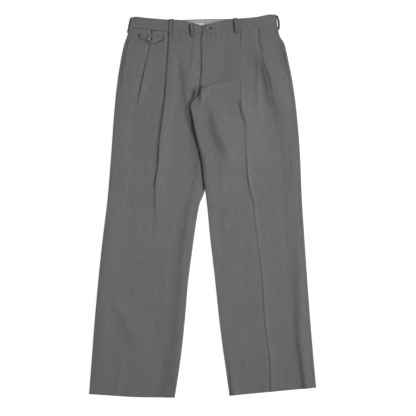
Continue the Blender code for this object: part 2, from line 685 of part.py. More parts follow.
def add_wall(name, leg, sections, heights, thickness, material):
    """A wall of cloth on a leg's side: its middle runs along the sections."""
    faces_of_wall = []
    for distance in (thickness / 2, -thickness / 2):
        rows = []
        for section, y in zip(sections, heights):
            moved = offset(section, distance)
            rows.append(np.column_stack([SIDES[leg] * moved[:, 0], y, moved[:, 1]]))
        faces_of_wall.append(np.array(rows))
    return add_block_of_grids(name, *faces_of_wall, material)


def add_panel(name, leg, section_at, material):
    sections = [section_at(leg, row) for row in PANEL_ROWS]
    heights = [row_height(leg, s[:, 0], row, s[:, 2]) for s, row in zip(sections, PANEL_ROWS)]
    return add_wall(name, leg, sections, heights, CLOTH, material)


def add_plate(name, xs, ys, middle, thickness, material):
    """A flat piece over a grid of x and y, with its middle at the given heights."""
    upper = np.stack([xs, ys, middle + thickness / 2], axis=-1)
    lower = np.stack([xs, ys, middle - thickness / 2], axis=-1)
    return add_block_of_grids(name, upper, lower, material)


def front_top(leg, x, y):
    """The highest point of a front panel at x and y."""
    row = y
    out = SIDES[leg] * x
    for _ in range(4):
        row -= float(row_height(leg, out, row)) - y
    section = offset(front_section(leg, min(row, SEAM_ROW)), CLOTH / 2)
    highest = FRONT_MID
    for (out_a, z_a), (out_b, z_b) in zip(section[:-1], section[1:]):
        if min(out_a, out_b) <= out <= max(out_a, out_b) and out_a != out_b:
            highest = max(highest, z_a + (z_b - z_a) * (out - out_a) / (out_b - out_a))
    return highest


def top_near(leg, x, y, reach):
    """The highest point of a front panel within a reach to either side of x."""
    return max(front_top(leg, x + step * reach, y) for step in (-1, -0.5, 0, 0.5, 1))


# ---------------------------------------------------------------- the pieces
def add_material(name, colour, roughness):
    material = bpy.data.materials.new(name)
    material.use_nodes = True
    shader = material.node_tree.nodes["Principled BSDF"]
    shader.inputs["Base Color"].default_value = (*colour, 1)
    shader.inputs["Roughness"].default_value = roughness
    material.diffuse_color = (*colour, 1)
    return material


def add_band(leg, material):
    shares = np.linspace(0, 1, BAND_STEPS["rows"] + 1)
    sections = [band_section(leg, share) for share in shares]
    heights = [band_height(leg, s[:, 0], share, s[:, 2]) for s, share in zip(sections, shares)]
    return add_wall(f"waistband_{leg}", leg, sections, heights, BAND_CLOTH, material)


def add_lining(leg, material):
    """The lining inside the back of the band, as far as it can show over the front."""
    places = back_band_places(leg, LINING_END, BACK_CENTRE[leg])
    outs, drops = np.meshgrid(places, LINING_DROPS)
    xs = SIDES[leg] * outs
    middle = BAND_CLOTH + SEAM_GAP + LINING / 2 + back_band_lift(leg, outs)
    return add_plate(f"waist_lining_{leg}", xs, read(BACK_TOP, "y", xs) - drops, middle, LINING, material)


def add_label(material):
    width, height = LABEL_SIZE
    outs, drops = np.meshgrid(np.linspace(-0.5, 0.5, 3) * width + LABEL_OUT, [0, height])
    middle = np.full(outs.shape, BAND_CLOTH + LINING + LABEL / 2 + 2 * SEAM_GAP)
    return add_plate("waist_label", -outs, LABEL_TOP - drops, middle, LABEL, material)


def add_flap(material):
    """The watch-pocket flap: a shallow point at the bottom, and rounded corners."""
    first, last = FLAP_TOP["out"][0], FLAP_TOP["out"][-1]
    corner = [first + FLAP_CORNER * share for share in (0, 0.15, 0.5, 1)]
    places = corner + [0.120, 0.132, 0.1432, 0.152, 0.163] + [first + last - c for c in reversed(corner)]
    outs, shares = np.meshgrid(places, [0, 0.33, 0.67, 1])
    from_end = np.clip(np.minimum(outs - first, last - outs) / FLAP_CORNER, 0, 1)
    cut = FLAP_CORNER * (1 - np.sqrt(1 - (1 - from_end) ** 2))
    top = read(FLAP_TOP, "y", outs) - cut
    bottom = read(FLAP_BOTTOM, "y", outs) + cut
    ys = mix(top, bottom, shares)
    under = np.array([[top_near("right", -o, y, 0.006) for o, y in zip(*line)] for line in zip(outs, ys)])
    middle = under + SEAM_GAP + FLAP_CLOTH / 2
    return add_plate("watch_pocket_flap", -outs, ys, middle, FLAP_CLOTH, material), middle.max()


def add_front_loop(loop, material):
    """A strap on the front of the band, sewn down at both ends and bowed between them."""
    x = SIDES[loop["leg"]] * loop["out"]
    top = float(read(FRONT_TOP, "y", x)) + loop["above"]
    seam = float(read(FRONT_SEAM, "y", x))
    foot = seam - loop["below"]
    clear = SEAM_GAP + LOOP_CLOTH / 2
    on_band = BAND_FRONT_MID + BAND_CLOTH / 2 + clear
    on_panel = max(top_near(loop["leg"], x, y, LOOP_WIDTH / 2) for y in (foot, foot + 0.004, seam - 0.001))
    stations = [
        (top, on_band),
        (top - 0.004, on_band + LOOP_BOW * 0.4),
        (mix(top, seam, 0.40), on_band + LOOP_BOW),
        (mix(top, seam, 0.75), on_band + LOOP_BOW * 0.8),
        (seam, on_band + LOOP_BOW * 0.3),
        (foot + 0.004, max(on_panel + clear, on_band - 0.0003)),
        (foot, on_panel + clear),
    ]
    ys, middle = np.array(stations).T
    xs, ys = np.meshgrid(np.array([-0.5, 0.5]) * LOOP_WIDTH + x, ys)
    middle = np.repeat(middle[:, None], 2, axis=1)
    return add_plate(loop["name"], xs, ys, middle, LOOP_CLOTH, material)


def add_side_loop(loop, material):
    """A strap on edge round the side of the band, leaning out towards its upper edge."""
    leg, sign = loop["leg"], SIDES[loop["leg"]]
    ys = np.linspace(loop["top"], loop["bottom"], 9)
    seam = float(read(FRONT_SEAM, "y", sign * 0.205))
    share = np.clip((ys - seam) / (loop["top"] - seam), 0, 1)
    edge = np.where(ys > seam, read(BAND_SIDE[leg], "out", share), read(SIDE_EDGE[leg], "out", ys))
    bow = loop["bow"] * np.sin(np.linspace(0, math.pi, len(ys))) ** 0.8
    inner = edge + 2 * SEAM_GAP + bow
    low, high = SEAM_GAP, SEAM_GAP + LOOP_WIDTH * math.cos(math.radians(loop["lean"]))
    lean = (high - low) * math.tan(math.radians(loop["lean"]))
    near, far = [], []
    for z, shift in ((low, 0), (high, lean)):
        near.append(np.column_stack([sign * (inner + shift), ys, np.full(len(ys), z)]))
        far.append(np.column_stack([sign * (inner + shift + LOOP_CLOTH), ys, np.full(len(ys), z)]))
    return add_block_of_grids(f"belt_loop_side_{leg}", np.array(far), np.array(near), material)


def add_back_loop(leg, material):
    """A strap between the back of the band and the surface."""
    x = SIDES[leg] * BACK_LOOP_OUT[leg]
    xs = np.array([-0.5, 0.5]) * LOOP_WIDTH + x
    top, foot = read(BACK_TOP, "y", xs) - 0.001, waist_seam(xs, 1.0) + 0.001
    ys = np.array([top, mix(top, foot, 0.5), foot])
    xs = np.repeat(xs[None, :], 3, axis=0)
    return add_plate(f"belt_loop_back_{leg}", xs, ys, np.full(xs.shape, LOOP_CLOTH / 2), LOOP_CLOTH, material)


def add_button(name, place, base, material):
    """A turned button with a raised rim, a dished middle and four holes."""
    rim, thick = BUTTON_RADIUS, BUTTON_THICK
    profile = [
        (0, 0), (rim * 0.70, 0), (rim * 0.94, thick * 0.25), (rim, thick * 0.5),
        (rim * 0.93, thick * 0.88), (rim * 0.80, thick), (rim * 0.68, thick * 0.88),
        (rim * 0.60, thick * 0.72), (0, thick * 0.68),
    ]
    bm = bmesh.new()
    verts = [bm.verts.new((r, 0, z)) for r, z in profile]
    edges = [bm.edges.new(pair) for pair in zip(verts[:-1], verts[1:])]
    bmesh.ops.spin(
        bm, geom=verts + edges, cent=(0, 0, 0), axis=(0, 0, 1), angle=math.tau, steps=14, use_merge=True
    )
    bmesh.ops.remove_doubles(bm, verts=bm.verts, dist=1e-6)
    bmesh.ops.recalc_face_normals(bm, faces=bm.faces)
    mesh = bpy.data.meshes.new(name)
    bm.to_mesh(mesh)
    bm.free()
    mesh.materials.append(material)
    button = bpy.data.objects.new(name, mesh)
    button.location = (*place, base)
    bpy.context.scene.collection.objects.link(button)

    holes = bmesh.new()
    for quarter in range(4):
        angle = math.radians(45 + 90 * quarter)
        centre = Vector((math.cos(angle), math.sin(angle), 0)) * BUTTON_HOLE_OUT
        centre.z = thick / 2
        bmesh.ops.create_cone(
            holes, cap_ends=True, segments=6, radius1=BUTTON_HOLE, radius2=BUTTON_HOLE,
            depth=thick * 3, matrix=Matrix.Translation(centre),
        )
    cutter_mesh = bpy.data.meshes.new(f"{name}_holes")
    holes.to_mesh(cutter_mesh)
    holes.free()
    cutter = bpy.data.objects.new(f"{name}_holes", cutter_mesh)
    cutter.location = button.location
    cutter.hide_render = True
    cutter.display_type = "WIRE"
    bpy.context.scene.collection.objects.link(cutter)
    cut = button.modifiers.new("holes", "BOOLEAN")
    cut.operation = "DIFFERENCE"
    cut.object = cutter
    return button


def main():
    for thing in list(bpy.data.objects):
        bpy.data.objects.remove(thing)
    cloth = add_material("grey_suiting", CLOTH_GREY, 0.9)
    lining = add_material("band_lining", LINING_GREY, 0.6)
    label = add_material("bare_label", LABEL_WHITE, 0.6)
    horn = add_material("horn_button", HORN_BROWN, 0.35)

    for leg in SIDES:
        add_panel(f"front_{leg}", leg, front_section, cloth)
        add_panel(f"back_{leg}", leg, back_section, cloth)
        add_band(leg, cloth)
        add_lining(leg, lining)
        add_back_loop(leg, cloth)
    add_label(label)
    flap_middle = add_flap(cloth)[1]
    for loop in FRONT_LOOPS:
        add_front_loop(loop, cloth)
    for loop in SIDE_LOOPS:
        add_side_loop(loop, cloth)
    add_button("button_watch_pocket", WATCH_BUTTON, flap_middle + FLAP_CLOTH / 2 + SEAM_GAP, horn)
    waist_top = BAND_FRONT_MID + BAND_LAP + BAND_CLOTH / 2
    add_button("button_waist", WAIST_BUTTON, waist_top + SEAM_GAP, horn)


main()
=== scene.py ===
"""Looks of the pleated dress trousers: every cloth piece is a fine shell on its solid's form.

Units are metres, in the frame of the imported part: X runs from the wearer's right leg
(negative) to the left one, Y from the hems to the waist, and Z up from the surface.
"out" is a distance from the centre line towards the side of a leg, so both legs share
the same functions. A section is one level cut through a panel, drawn in out and z.
Only what goes through table() is written in millimetres, and it comes out in metres. The outline
starts from the tables of the part's source, and the pleats and folds add to them.
"""

import math

import bmesh
import bpy
import numpy as np
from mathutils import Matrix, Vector

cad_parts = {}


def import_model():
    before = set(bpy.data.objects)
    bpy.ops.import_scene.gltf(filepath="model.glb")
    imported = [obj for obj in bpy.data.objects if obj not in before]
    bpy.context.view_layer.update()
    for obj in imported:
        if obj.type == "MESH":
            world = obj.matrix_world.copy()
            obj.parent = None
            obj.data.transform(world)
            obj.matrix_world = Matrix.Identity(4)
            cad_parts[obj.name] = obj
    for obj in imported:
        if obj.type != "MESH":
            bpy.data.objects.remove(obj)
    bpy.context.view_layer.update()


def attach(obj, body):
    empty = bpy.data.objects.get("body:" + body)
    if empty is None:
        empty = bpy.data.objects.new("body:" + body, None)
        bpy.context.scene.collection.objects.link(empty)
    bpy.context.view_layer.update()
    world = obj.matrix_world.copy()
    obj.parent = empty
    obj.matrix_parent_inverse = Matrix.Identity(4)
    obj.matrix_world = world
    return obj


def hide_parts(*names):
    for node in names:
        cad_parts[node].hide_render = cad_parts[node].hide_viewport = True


# ---------------------------------------------------------------- sizes of the part
MM = 0.001
PLAIN_COLUMNS = ("turn", "share")  # degrees and shares: every other column is a length
CLOTH = 0.0010
BAND_CLOTH = 0.0016
SEAM_GAP = 0.0003
BACK_MID = CLOTH / 2
FOLD_RADIUS = 0.00075
FRONT_MID = BACK_MID + 2 * FOLD_RADIUS
SIDE_RADIUS = 0.0022
SIDE_STRIP = 0.009
EDGE_RISE = BACK_MID + 2 * SIDE_RADIUS - FRONT_MID
CURL_RADIUS = 0.00105
CURL_GAP = 0.0005
PUFF = 0.0010
POCKET_LIP = 0.0010
TURN_LENGTH = 0.0024  # length of a turn where the cloth has nothing to turn

BACK_SEAM_LOW = 0.4905
BACK_SEAM_TILT = 0.0117
BACK_SEAM_BEND = 0.335
SEAM_ROW = 0.492
HEM_ROW = -0.520
SEAM_REACH = 0.380
HEM_REACH = -0.150
CENTRE_BACK = 0.004

BAND_FRONT_MID = 0.0053
BAND_BACK_MID = BAND_CLOTH / 2
BAND_LAP = 0.0019
BAND_LAP_FULL = 0.030
BAND_LAP_FOOT = 0.055
BAND_START = 0.0005
LAP_END = 0.014
FLY_LIFT = 0.0015
FLY_GAPE = 0.0014
FLY_FOOT = 0.345
CURL_TOP = 0.300
CROSSING = 0.0033
CROSSING_FOOT = 0.028
CROSSING_END = -0.030
CROTCH = 0.288
FOLD_OVER = 0.014

LINING = 0.0010
LINING_END = 0.125
LINING_DROPS = (0.0026, 0.030)
LABEL = 0.0006
LABEL_SIZE = (0.025, 0.022)
LABEL_TOP = 0.5115
LABEL_OUT = 0.0101
LOOP_WIDTH = 0.011
LOOP_CLOTH = 0.0012
LOOP_CLEAR = 0.00015
FLAP_CLOTH = 0.0015
FLAP_CORNER = 0.004
BUTTON_RADIUS = 0.0075
BUTTON_THICK = 0.003
BUTTON_HOLE = 0.0009
BUTTON_HOLE_OUT = 0.0017

SIDES = {"right": -1, "left": 1}
BACK_CENTRE = {leg: sign * CENTRE_BACK + SEAM_GAP / 2 for leg, sign in SIDES.items()}
BACK_LOOP_OUT = {"right": 0.085, "left": 0.093}
WATCH_BUTTON = (-0.1463, 0.4668)
WAIST_BUTTON = (0.0167, 0.4970)
POCKET_MOUTH = (0.335, 0.455)


def table(columns, *rows, unit=MM):
    """One array for each named column; the first column is the place that the others go with."""
    named = zip(columns.split(), np.array(sorted(rows), float).T)
    return {name: values * (1 if name in PLAIN_COLUMNS else unit) for name, values in named}


SIDE_EDGE = {
    "right": table(
        "y out",
        (499.5, 205), (476, 211.2), (453.6, 219.2), (408.8, 228.9), (341.6, 239.3), (252, 248.2),
        (140, 256.3), (28, 265.3), (-84, 278.7), (-196, 290.8), (-308, 301.1), (-420, 309.8),
        (-526.4, 318),
    ),
    "left": table(
        "y out",
        (505.4, 209), (476, 215.5), (453.6, 228.6), (408.8, 239.5), (341.6, 252.7), (252, 264.2),
        (140, 272.9), (28, 277.6), (-84, 284.6), (-196, 292.2), (-308, 300.6), (-420, 309.8),
        (-508.2, 318),
    ),
}
INNER_POINTS = {  # y, out
    "right": [
        (288, -4), (280, -6), (262, -14), (238, -21), (198, -24), (140, -22), (90, -16), (56, -9),
        (28, -1), (5.6, 8.3), (-17, 13), (-62, 20.3), (-129, 29.5), (-218, 41), (-308, 48.6),
        (-398, 57.8), (-465, 66.8), (-535, 77.7),
    ],
    "left": [
        (280.6, -37.1), (240.8, -28.8), (196, -20.5), (151, -10), (106, -2), (61.6, 4.2), (5.6, 11.9),
        (-84, 20.6), (-196, 33.5), (-308, 45.2), (-398, 56.4), (-465, 66), (-530.6, 75),
    ],
}
INNER_RIGHT = table("y out", *INNER_POINTS["right"])
FRONT_EDGE = {
    "right": table(
        "y out",
        (505, -LAP_END / MM), (345, -LAP_END / MM), (318, -6), (302, -1), (281, -0.5), (262, 2), (205, 9),
        (124, 16.7), (82, 21.4), (26, 30.7), (-30, 40.2), (-81, 44.7), (-118, 54.2), (-230, 63.4),
        (-347, 73), (-459, 85.8), (-535, 92.8),
    ),
    "left": table(
        "y out",
        (505, 0), (476, -2.2), (459, -4.2), (442.4, -2.8), (425.6, -0.4), (400, -1.8), (380, -1.4),
        (358.4, -5.5), (341.6, -9), (324.8, -11.2), (308, -14.2), (303.5, -19), (296.8, -26.2),
        *INNER_POINTS["left"],
    ),
}
BACK_BENDS = {"right": (), "left": ((281, -22), (274, -35.5))}  # y, out
BACK_EDGE = {
    leg: table(
        "y out", (505, centre / MM), (CROTCH / MM, centre / MM), *BACK_BENDS[leg], *INNER_POINTS[leg][1:]
    )
    for leg, centre in BACK_CENTRE.items()
}
RIGHT_ROLL = table(
    "y radius",
    (300, FOLD_RADIUS / MM), (50, FOLD_RADIUS / MM), (10, 1.1), (-60, 2), (-535, SIDE_RADIUS / MM),
)
HEM = {
    "right": table("out y", (78.6, -536), (158, -535.6), (317.7, -526.4)),
    "left": table("out y", (75.2, -531.2), (196, -519.7), (317.4, -508.2)),
}
FRONT_SEAM = table(
    "x y",
    (-210, 503.2), (-183.8, 497), (-162.3, 494.2), (-130.6, 490.8), (-97, 488.6), (-38.2, 486.6),
    (0, 484), (37.4, 483.8), (71, 488.6), (104.6, 493.6), (149.4, 499), (183, 502.6), (212, 505.8),
)
FRONT_TOP = table(
    "x y",
    (-205, 526.5), (-186.6, 529.8), (-164.2, 527.2), (-130.6, 524.2), (-97, 521.9), (-74.6, 521.4),
    (-57.8, 520), (-35.4, 515.2), (-18.6, 510.2), (-1.8, 505.3), (20.6, 510.2), (37.4, 514.6),
    (59.9, 519.7), (82.2, 523.6), (115.8, 525.6), (149.4, 528.6), (171.8, 533.1), (188.6, 536),
    (202.6, 535.5), (212, 533),
)
BACK_TOP = table(
    "x y",
    (-205, 526.5), (-150, 522.5), (-100, 520.3), (-60, 521), (0, 522.8), (60, 523.5), (116, 524.5),
    (160, 528.5), (205.4, 535), (212, 533),
)
BAND_SIDE = {
    "right": table("share out", (0, 205.2), (1, 199.2)),
    "left": table("share out", (0, 209), (1, 206)),
}
FLAP_TOP = table("out y", (106.8, 475.7), (142, 479.7), (178.5, 483.8))
FLAP_BOTTOM = table("out y", (106.8, 464.8), (143.2, 452.8), (178.5, 469.8))

# Front belt loops: the middle's x, how far it leans from its top to its foot, how far it bows out,
# how far it reaches above the band and below the seam, and how thick the near-black runs along its two edges
# are: edge stitching and painted shade.
FRONT_LOOP_COLUMNS = "name x lean bow above below threads"
FRONT_LOOPS = [
    dict(zip(FRONT_LOOP_COLUMNS.split(), row)) for row in (
        ("belt_loop_front_right", -0.0883, -0.0028, 0.0004, 0.0015, 0.009, (0.0003, 0.0014)),
        ("belt_loop_fly", -0.0296, 0.0026, 0.0024, -0.0050, 0.012, (0.0011, 0.0011)),
        ("belt_loop_front_left", 0.0940, 0.0040, 0.0022, 0.0015, 0.009, (0.0010, 0.0009)),
    )
]
# Side belt loops, on edge: y of both ends, bow, distance from the side, and degrees of lean.
SIDE_LOOPS = [
    {"leg": "right", "top": 0.5270, "bottom": 0.4850, "bow": 0.0, "clear": 0.0010, "lean": -26},
    {"leg": "left", "top": 0.5325, "bottom": 0.4930, "bow": 0.0046, "clear": 0.0004, "lean": 24},
]

# Pleats: edge of the fold, degrees that the cloth turns back, hidden length under the fold,
# height of the lower layer, and the widths of the climb to the fold and of the fall beyond it.
PLEAT_COLUMNS = "y out turn under lift near far"
LEFT_CREASE = (  # y, edge
    (4, 142.4), (-63, 148.6), (-130, 156.8), (-214, 165), (-298, 172.1), (-365, 179), (-433, 186.3),
    (-535, 192.5),
)
PLEATS = {
    "right": [
        table(
            PLEAT_COLUMNS,
            (505, 94.6, 180, 18, 1.6, 12, 10), (450, 95.6, 180, 16, 1.2, 18, 12),
            (406, 98.1, 180, 13, 0.8, 22, 14), (339, 103, 178, 10, 0.6, 26, 18),
            (272, 109.3, 176, 8, 0.6, 30, 22), (199, 118.8, 174, 6, 0.6, 32, 24),
            (134, 124, 150, 3, 0.6, 34, 24), (106, 125.7, 110, 1.5, 0.6, 34, 26),
            (73, 131.2, 75, 1.4, 0.7, 34, 26), (39, 132, 45, 1.2, 0.8, 32, 28),
            (17, 132, 28, 1.2, 0.8, 30, 30), (-6, 133.5, 12, 1.2, 0.8, 30, 30),
            (-81, 137.6, 4, 1.5, 0.9, 30, 34), (-200, 148, 0, 1.5, 1, 34, 36),
            (-535, 188, 0, 1.5, 1, 36, 36),
        ),
        table(
            PLEAT_COLUMNS,
            (505, 139.5, 180, 14, 1.8, 10, 10), (482, 142.2, 170, 6, 1.6, 12, 10),
            (453.6, 147, 78, 0.4, 1.2, 14, 12), (408.8, 155.2, 76, 0.4, 0.8, 18, 14),
            (375.2, 163.6, 80, 1.4, 0.6, 20, 16), (341.6, 171.2, 80, 1.4, 0.6, 20, 18),
            (324.8, 175, 84, 2, 0.7, 20, 18), (310, 177.6, 74, 1.4, 0.8, 20, 20),
            (296, 181.2, 20, 0.8, 0.9, 22, 20), (280, 183, 0, 1.2, 1, 24, 20),
            (150, 190, 0, 1.5, 1, 24, 20), (-535, 250, 0, 1.5, 1, 24, 20),
        ),
    ],
    "left": [
        table(
            PLEAT_COLUMNS,
            (505, 104, 180, 18, 2, 30, 10), (409, 102.2, 180, 14, 1, 32, 14),
            (325, 104, 178, 10, 0.8, 40, 16), (295, 105, 174, 8, 0.6, 44, 18),
            (274, 106.8, 150, 4, 0.6, 48, 18), (241, 117, 70, 1.2, 0.6, 56, 20),
            (199, 123.6, 20, 1.2, 0.8, 56, 26), (157, 124, 5, 1.2, 1, 50, 30),
            (105, 125.2, 0, 1.2, 1, 40, 30), (55, 134, 0, 1.2, 1, 24, 30),
            *((y, edge, 0, 1.2, 1, 10, 30) for y, edge in LEFT_CREASE),
        ),
        table(
            PLEAT_COLUMNS,
            (510, 149, 180, 14, 2.2, 20, 10), (464.8, 152.2, 180, 12, 1.6, 24, 12),
            (431.2, 160.6, 178, 9, 1, 26, 14), (392, 170.4, 140, 3, 0.8, 28, 18),
            (338.8, 183, 40, 1.5, 0.6, 22, 20), (294, 191.4, 8, 1.5, 0.6, 24, 20),
            (254.8, 197, 0, 1.5, 0.8, 26, 20), (200, 202, 0, 1.5, 1, 26, 22),
            (100, 208, 0, 1.5, 1, 26, 22), (-535, 255, 0, 1.5, 1, 24, 22),
        ),
    ],
}

# ---------------------------------------------------------------- sizes of the finer form
SHARP_ANGLE = math.radians(50)
RAY_HEIGHT = 0.1
PLEAT_RADII = {"right": (0.00064, 0.00054), "left": (0.00060, 0.00054)}
PLEAT_CLEAR = 0.0010  # from a pleat's turns to the climb before it and the fall beyond it
# Soft hollows of the front cloth, each along a line of x, y.
SOFT_FOLDS = [
    {"height": -0.0010, "width": 0.016, "line": [(0.030, 0.230), (0.046, 0.165), (0.068, 0.120)]},
    {"height": -0.0008, "width": 0.018, "line": [(0.072, 0.110), (0.062, 0.030), (0.049, -0.048)]},
    {"height": -0.0008, "width": 0.010, "line": [(0.206, 0.262), (0.220, 0.236), (0.196, 0.200)]},
    {"height": -0.0010, "width": 0.005, "line": [(0.112, 0.203), (0.117, 0.174), (0.113, 0.144)]},
    {"height": -0.0012, "width": 0.006, "line": [(0.189, 0.177), (0.207, 0.160), (0.226, 0.145)]},
]
# Folds of the front cloth: where the crest is at each y, how far the cloth falls away from it
# towards -X and towards +X, and its height. A soft fold is rounded, a sharp one is creased, a
# straight one rises evenly, and a round one stands up like a roll.
FOLD_COLUMNS = "y x before after height"


def fold(kind, *rows):
    """A fold's kind, and its sizes."""
    return kind, table(FOLD_COLUMNS, *rows)


def even_fold(kind, before, after, *rows):
    """A fold that falls away as widely all along; its rows give y, x and height."""
    return fold(kind, *((y, x, before, after, height) for y, x, height in rows))


